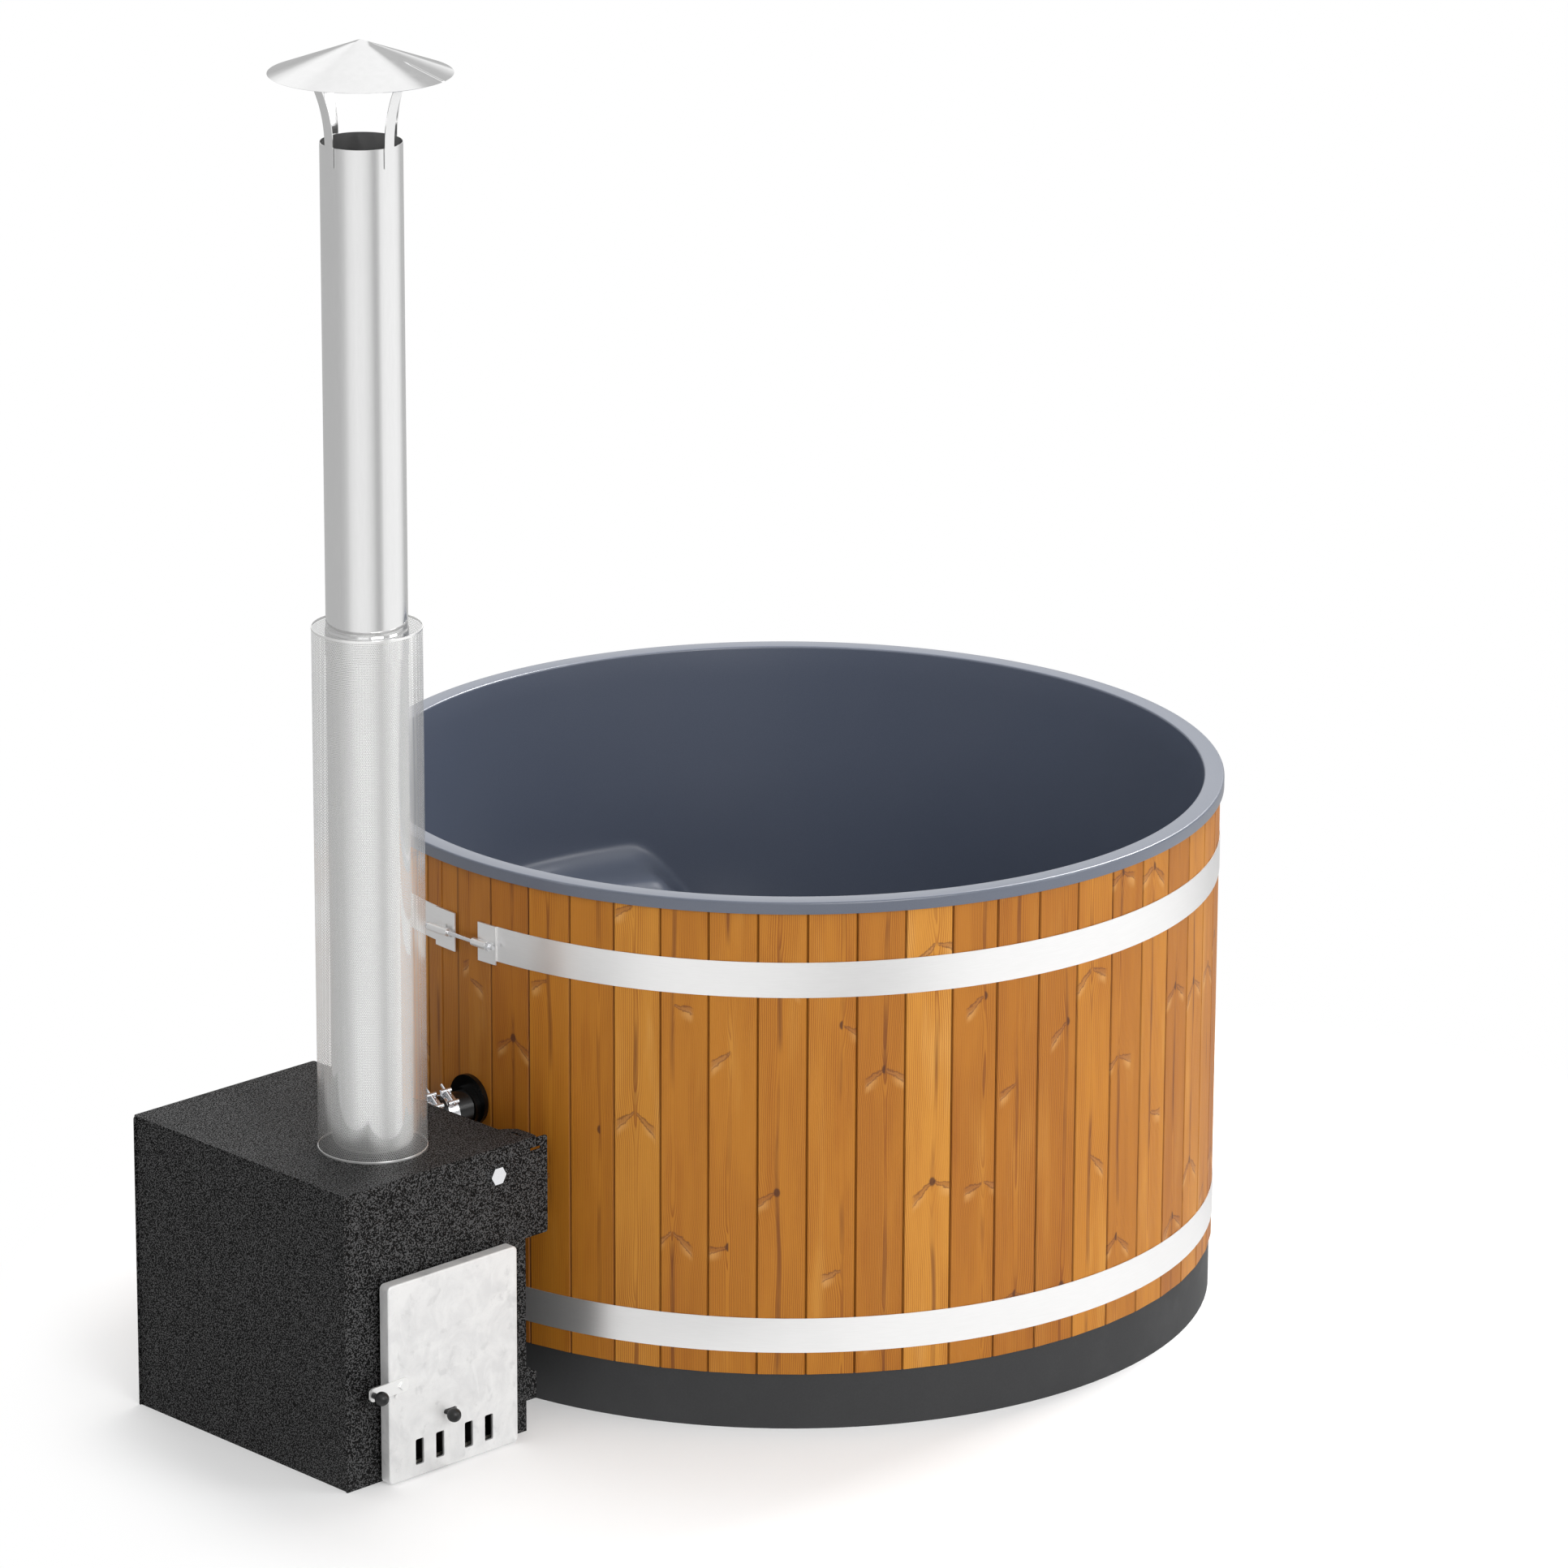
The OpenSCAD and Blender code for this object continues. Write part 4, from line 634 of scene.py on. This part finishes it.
def make_legs():
    """Four straps that hold the cap, each with a rounded upper end."""
    line = leg_path()
    for k in range(4):
        turn = k * math.pi / 2
        out = Vector((math.cos(turn), math.sin(turn), 0))
        side = Vector((-math.sin(turn), math.cos(turn), 0))
        centre = Vector((FLUE_X, FLUE_Y, 0))
        rows = []
        for i, (r, z) in enumerate(line):
            a, b = line[max(i - 1, 0)], line[min(i + 1, len(line) - 1)]
            along = Vector((b[0] - a[0], b[1] - a[1])).normalized()
            norm = out * along.y - Vector((0, 0, 1)) * along.x
            left = len(line) - 1 - i
            half = LEG_W / 2 * math.sqrt(max(0.02, 1 - max(0.0, 1 - left / 6) ** 2))
            middle = centre + out * r + Vector((0, 0, z))
            rows.append([middle + side * (u * half) + norm * (v * LEG_T / 2)
                         for u, v in ((-1, -1), (-0.5, -1), (0, -1), (0.5, -1), (1, -1),
                                      (1, 1), (0.5, 1), (0, 1), (-0.5, 1), (-1, 1))])
        mesh_piece(f"cap_leg_{k + 1}", *loft(rows), "cap", "steel_flue", ["cap_legs"])


def make_seam():
    """The cap's lap seam: a narrow strip from halfway down the cone to its rim."""
    steps = 12
    rows = []
    for i in range(steps + 1):
        r = SEAM_IN + (CAP_R - 0.5 * MM - SEAM_IN) * i / steps
        ends = min(1.0, i / 2 + 0.3)
        row = []
        for u, v in ((-1, 0.1), (-0.8, 1), (0.8, 1), (1, 0.1)):
            turn = SEAM_TURN + u * SEAM_W / 2 * ends / r
            row.append((FLUE_X + r * math.cos(turn), FLUE_Y + r * math.sin(turn),
                        CAP_HI.z - r * CAP_DROP + v * SEAM_PROUD))
        rows.append(row)
    mesh_piece("cap_seam", *loft(rows), "cap", "steel_cap", smooth=30)


make_legs()
make_seam()


# Soft edges on the CAD plates
for node in ("front_plate", "back_plate", "top_plate", "left_side_plate", "right_side_plate",
             "latch_bar", "latch_keeper", "band_lugs", "port_plug", "tension_nuts"):
    soft = nodes[node].modifiers.new("soft_edges", "BEVEL")
    soft.width = 0.6 * MM
    soft.segments = 2
    soft.limit_method = "ANGLE"
    soft.angle_limit = math.radians(50)


# Floor, light and camera
CAMERA_PLACE = Vector((-9.84856, -10.19933, 5.45437))
CAMERA_RIGHT = Vector((0.720749, -0.693182, 0.004294))
CAMERA_UP = Vector((0.206710, 0.220835, 0.953154))
CAMERA_AHEAD = Vector((0.661658, 0.686098, -0.302454))
SENSOR, LENS, FAR_CLIP = 36.0, 185.58, 200.0
FLOOR_SIZE, FLOOR_GREY, FLOOR_LIFT, WORLD_LEVEL = 60.0, 0.80, 0.22, 0.62
# The floor seen by the camera turns white between these distances from this place.
FLOOR_CENTRE, WHITE_FROM, WHITE_AT = Vector((0.06, -0.45)), 1.50, 1.85
# Name, place, aim, width and depth, and power in watts.
LAMPS = [
    ("key", (5.5, 0.5, 6.5), (-0.3, 0, 0.4), (2.6, 2.6), 500),
    ("top", (0.2, 0.6, 4.2), (0.1, 0.2, 0.5), (1.6, 1.6), 55),
    ("front", (-2.5, -7.0, 3.6), (-0.3, 0, 0.6), (4.0, 3.0), 210),
    ("side", (3.5, -6.0, 3.0), (0.2, 0, 0.6), (3.0, 3.0), 95),
]
UNMIRRORED_LAMP = "top"
VIEW_TURN = math.atan2(CAMERA_PLACE.y - FLUE_Y, CAMERA_PLACE.x - FLUE_X)
# Tones that polished metal mirrors. The floor's go round the flue: half a turn to the left of the
# camera's side is 0, half a turn to the right is 1. The sky's go from the left horizon to the right.
FLOOR_TONES = [
    (0.0, 0.50), (0.30, 0.50), (0.333, 0.55), (0.356, 0.63), (0.38, 0.78), (0.40, 0.86), (0.444, 0.93),
    (0.50, 0.91), (0.53, 0.83), (0.556, 0.71), (0.585, 0.50), (0.605, 0.48), (0.622, 0.60), (0.645, 0.90),
    (0.68, 0.98), (0.78, 1.0), (0.82, 0.90), (0.845, 0.70), (0.875, 0.50), (1.0, 0.48)]
SKY_TONES = [
    (0.0, 0.49), (0.235, 0.49), (0.275, 0.60), (0.30, 0.86), (0.33, 1.04), (0.37, 1.04), (0.40, 0.96),
    (0.45, 0.99), (0.565, 1.02), (0.580, 0.92), (0.592, 0.54), (0.64, 0.52), (0.66, 0.75), (0.69, 0.94),
    (0.71, 0.94), (0.735, 0.80), (0.755, 0.56), (0.80, 0.50), (1.0, 0.50)]
SIDEWAYS = Vector((CAMERA_RIGHT.x, CAMERA_RIGHT.y, 0)).normalized()


def grey_ramp(s, share, tones):
    return s.ramp(share, [(place, (tone, tone, tone)) for place, tone in tones])


def floor_tone(s, x, y):
    """The floor's mirrored tone at a place, given from the flue."""
    turn = s.math("SUBTRACT", s.math("ARCTAN2", y, x), VIEW_TURN)
    return grey_ramp(s, s.math("FRACT", s.math("ADD", s.math("DIVIDE", turn, TAU), 0.5)), FLOOR_TONES)


def sky_tone(s, x, y, z):
    """The sky's mirrored tone in a direction."""
    side = s.math("MULTIPLY_ADD", x, SIDEWAYS.x, s.math("MULTIPLY", y, SIDEWAYS.y))
    lean = s.math("ARCTAN2", side, s.math("MAXIMUM", z, 0.001))
    return grey_ramp(s, s.math("ADD", s.math("DIVIDE", lean, math.pi), 0.5), SKY_TONES)


def stage_floor():
    mesh = bpy.data.meshes.new("floor")
    mesh.from_pydata([(x * FLOOR_SIZE, y * FLOOR_SIZE, 0) for x, y in ((-1, -1), (1, -1), (1, 1), (-1, 1))],
                     [], [(0, 1, 2, 3)])
    floor = bpy.data.objects.new("floor", mesh)
    bpy.context.scene.collection.objects.link(floor)
    s = Shader("floor")
    tree = s.tree
    tree.nodes.remove(s.bsdf)
    x, y, _ = s.split()
    diffuse = s.add("ShaderNodeBsdfDiffuse", Color=(FLOOR_GREY, FLOOR_GREY, FLOOR_GREY))
    lift = s.add("ShaderNodeEmission", Color=(1, 1, 1), Strength=FLOOR_LIFT)
    both = s.add("ShaderNodeAddShader")
    white = s.add("ShaderNodeEmission", Color=(1, 1, 1), Strength=1.0)
    glow = s.add("ShaderNodeEmission", Strength=1.0)
    s.put(glow.inputs["Color"], floor_tone(s, s.math("SUBTRACT", x, FLUE_X), s.math("SUBTRACT", y, FLUE_Y)))
    path = s.add("ShaderNodeLightPath")
    off_x = s.math("SUBTRACT", x, FLOOR_CENTRE.x)
    off_y = s.math("SUBTRACT", y, FLOOR_CENTRE.y)
    away = s.math("SQRT", s.math("MULTIPLY_ADD", off_x, off_x, s.math("MULTIPLY", off_y, off_y)))
    far = s.range(away, WHITE_FROM, WHITE_AT)

    def blend(factor, a, b):
        n = s.add("ShaderNodeMixShader")
        s.put(n.inputs[0], factor)
        tree.links.new(a.outputs[0], n.inputs[1])
        tree.links.new(b.outputs[0], n.inputs[2])
        return n

    tree.links.new(diffuse.outputs[0], both.inputs[0])
    tree.links.new(lift.outputs[0], both.inputs[1])
    seen = blend(path.outputs["Is Camera Ray"], diffuse, blend(far, both, white))
    through = blend(path.outputs["Is Transmission Ray"], seen, white)
    mirrored = blend(path.outputs["Is Glossy Ray"], through, glow)
    tree.links.new(mirrored.outputs[0], s.out.inputs["Surface"])
    mesh.materials.append(s.mat)


def world_light():
    world = bpy.data.worlds.new("studio")
    bpy.context.scene.world = world
    world.use_nodes = True
    tree = world.node_tree
    s = Nodes(tree, "Generated")
    out = s.add("ShaderNodeOutputWorld")
    x, y, z = s.split()
    soft = s.add("ShaderNodeBackground", Color=(1, 1, 1), Strength=WORLD_LEVEL)
    white = s.add("ShaderNodeBackground", Color=(1, 1, 1), Strength=1.0)
    glow = s.add("ShaderNodeBackground", Strength=1.0)
    s.put(glow.inputs["Color"], sky_tone(s, x, y, z))
    path = s.add("ShaderNodeLightPath")
    mirrored = s.add("ShaderNodeMixShader")
    through = s.add("ShaderNodeMixShader")
    pick = s.add("ShaderNodeMixShader")
    tree.links.new(path.outputs["Is Transmission Ray"], through.inputs[0])
    tree.links.new(soft.outputs[0], through.inputs[1])
    tree.links.new(white.outputs[0], through.inputs[2])
    tree.links.new(path.outputs["Is Glossy Ray"], mirrored.inputs[0])
    tree.links.new(through.outputs[0], mirrored.inputs[1])
    tree.links.new(glow.outputs[0], mirrored.inputs[2])
    tree.links.new(path.outputs["Is Camera Ray"], pick.inputs[0])
    tree.links.new(mirrored.outputs[0], pick.inputs[1])
    tree.links.new(white.outputs[0], pick.inputs[2])
    tree.links.new(pick.outputs[0], out.inputs["Surface"])


def area(name, place, aim, size, power):
    data = bpy.data.lights.new(name, "AREA")
    data.shape = "RECTANGLE"
    data.size, data.size_y = size
    data.energy = power
    lamp = bpy.data.objects.new(name, data)
    bpy.context.scene.collection.objects.link(lamp)
    lamp.location = place
    lamp.rotation_mode = "QUATERNION"
    lamp.rotation_quaternion = (Vector(aim) - Vector(place)).to_track_quat("-Z", "Y")
    lamp.visible_glossy = name != UNMIRRORED_LAMP


def camera():
    data = bpy.data.cameras.new("photo_view")
    data.sensor_width = SENSOR
    data.lens = LENS
    data.clip_end = FAR_CLIP
    cam = bpy.data.objects.new("photo_view", data)
    bpy.context.scene.collection.objects.link(cam)
    turn = Matrix((CAMERA_RIGHT, CAMERA_UP, -CAMERA_AHEAD)).transposed().to_4x4()
    cam.matrix_world = Matrix.Translation(CAMERA_PLACE) @ turn
    bpy.context.scene.camera = cam


stage_floor()
world_light()
for lamp_values in LAMPS:
    area(*lamp_values)
camera()
bpy.context.scene.view_settings.view_transform = "Standard"
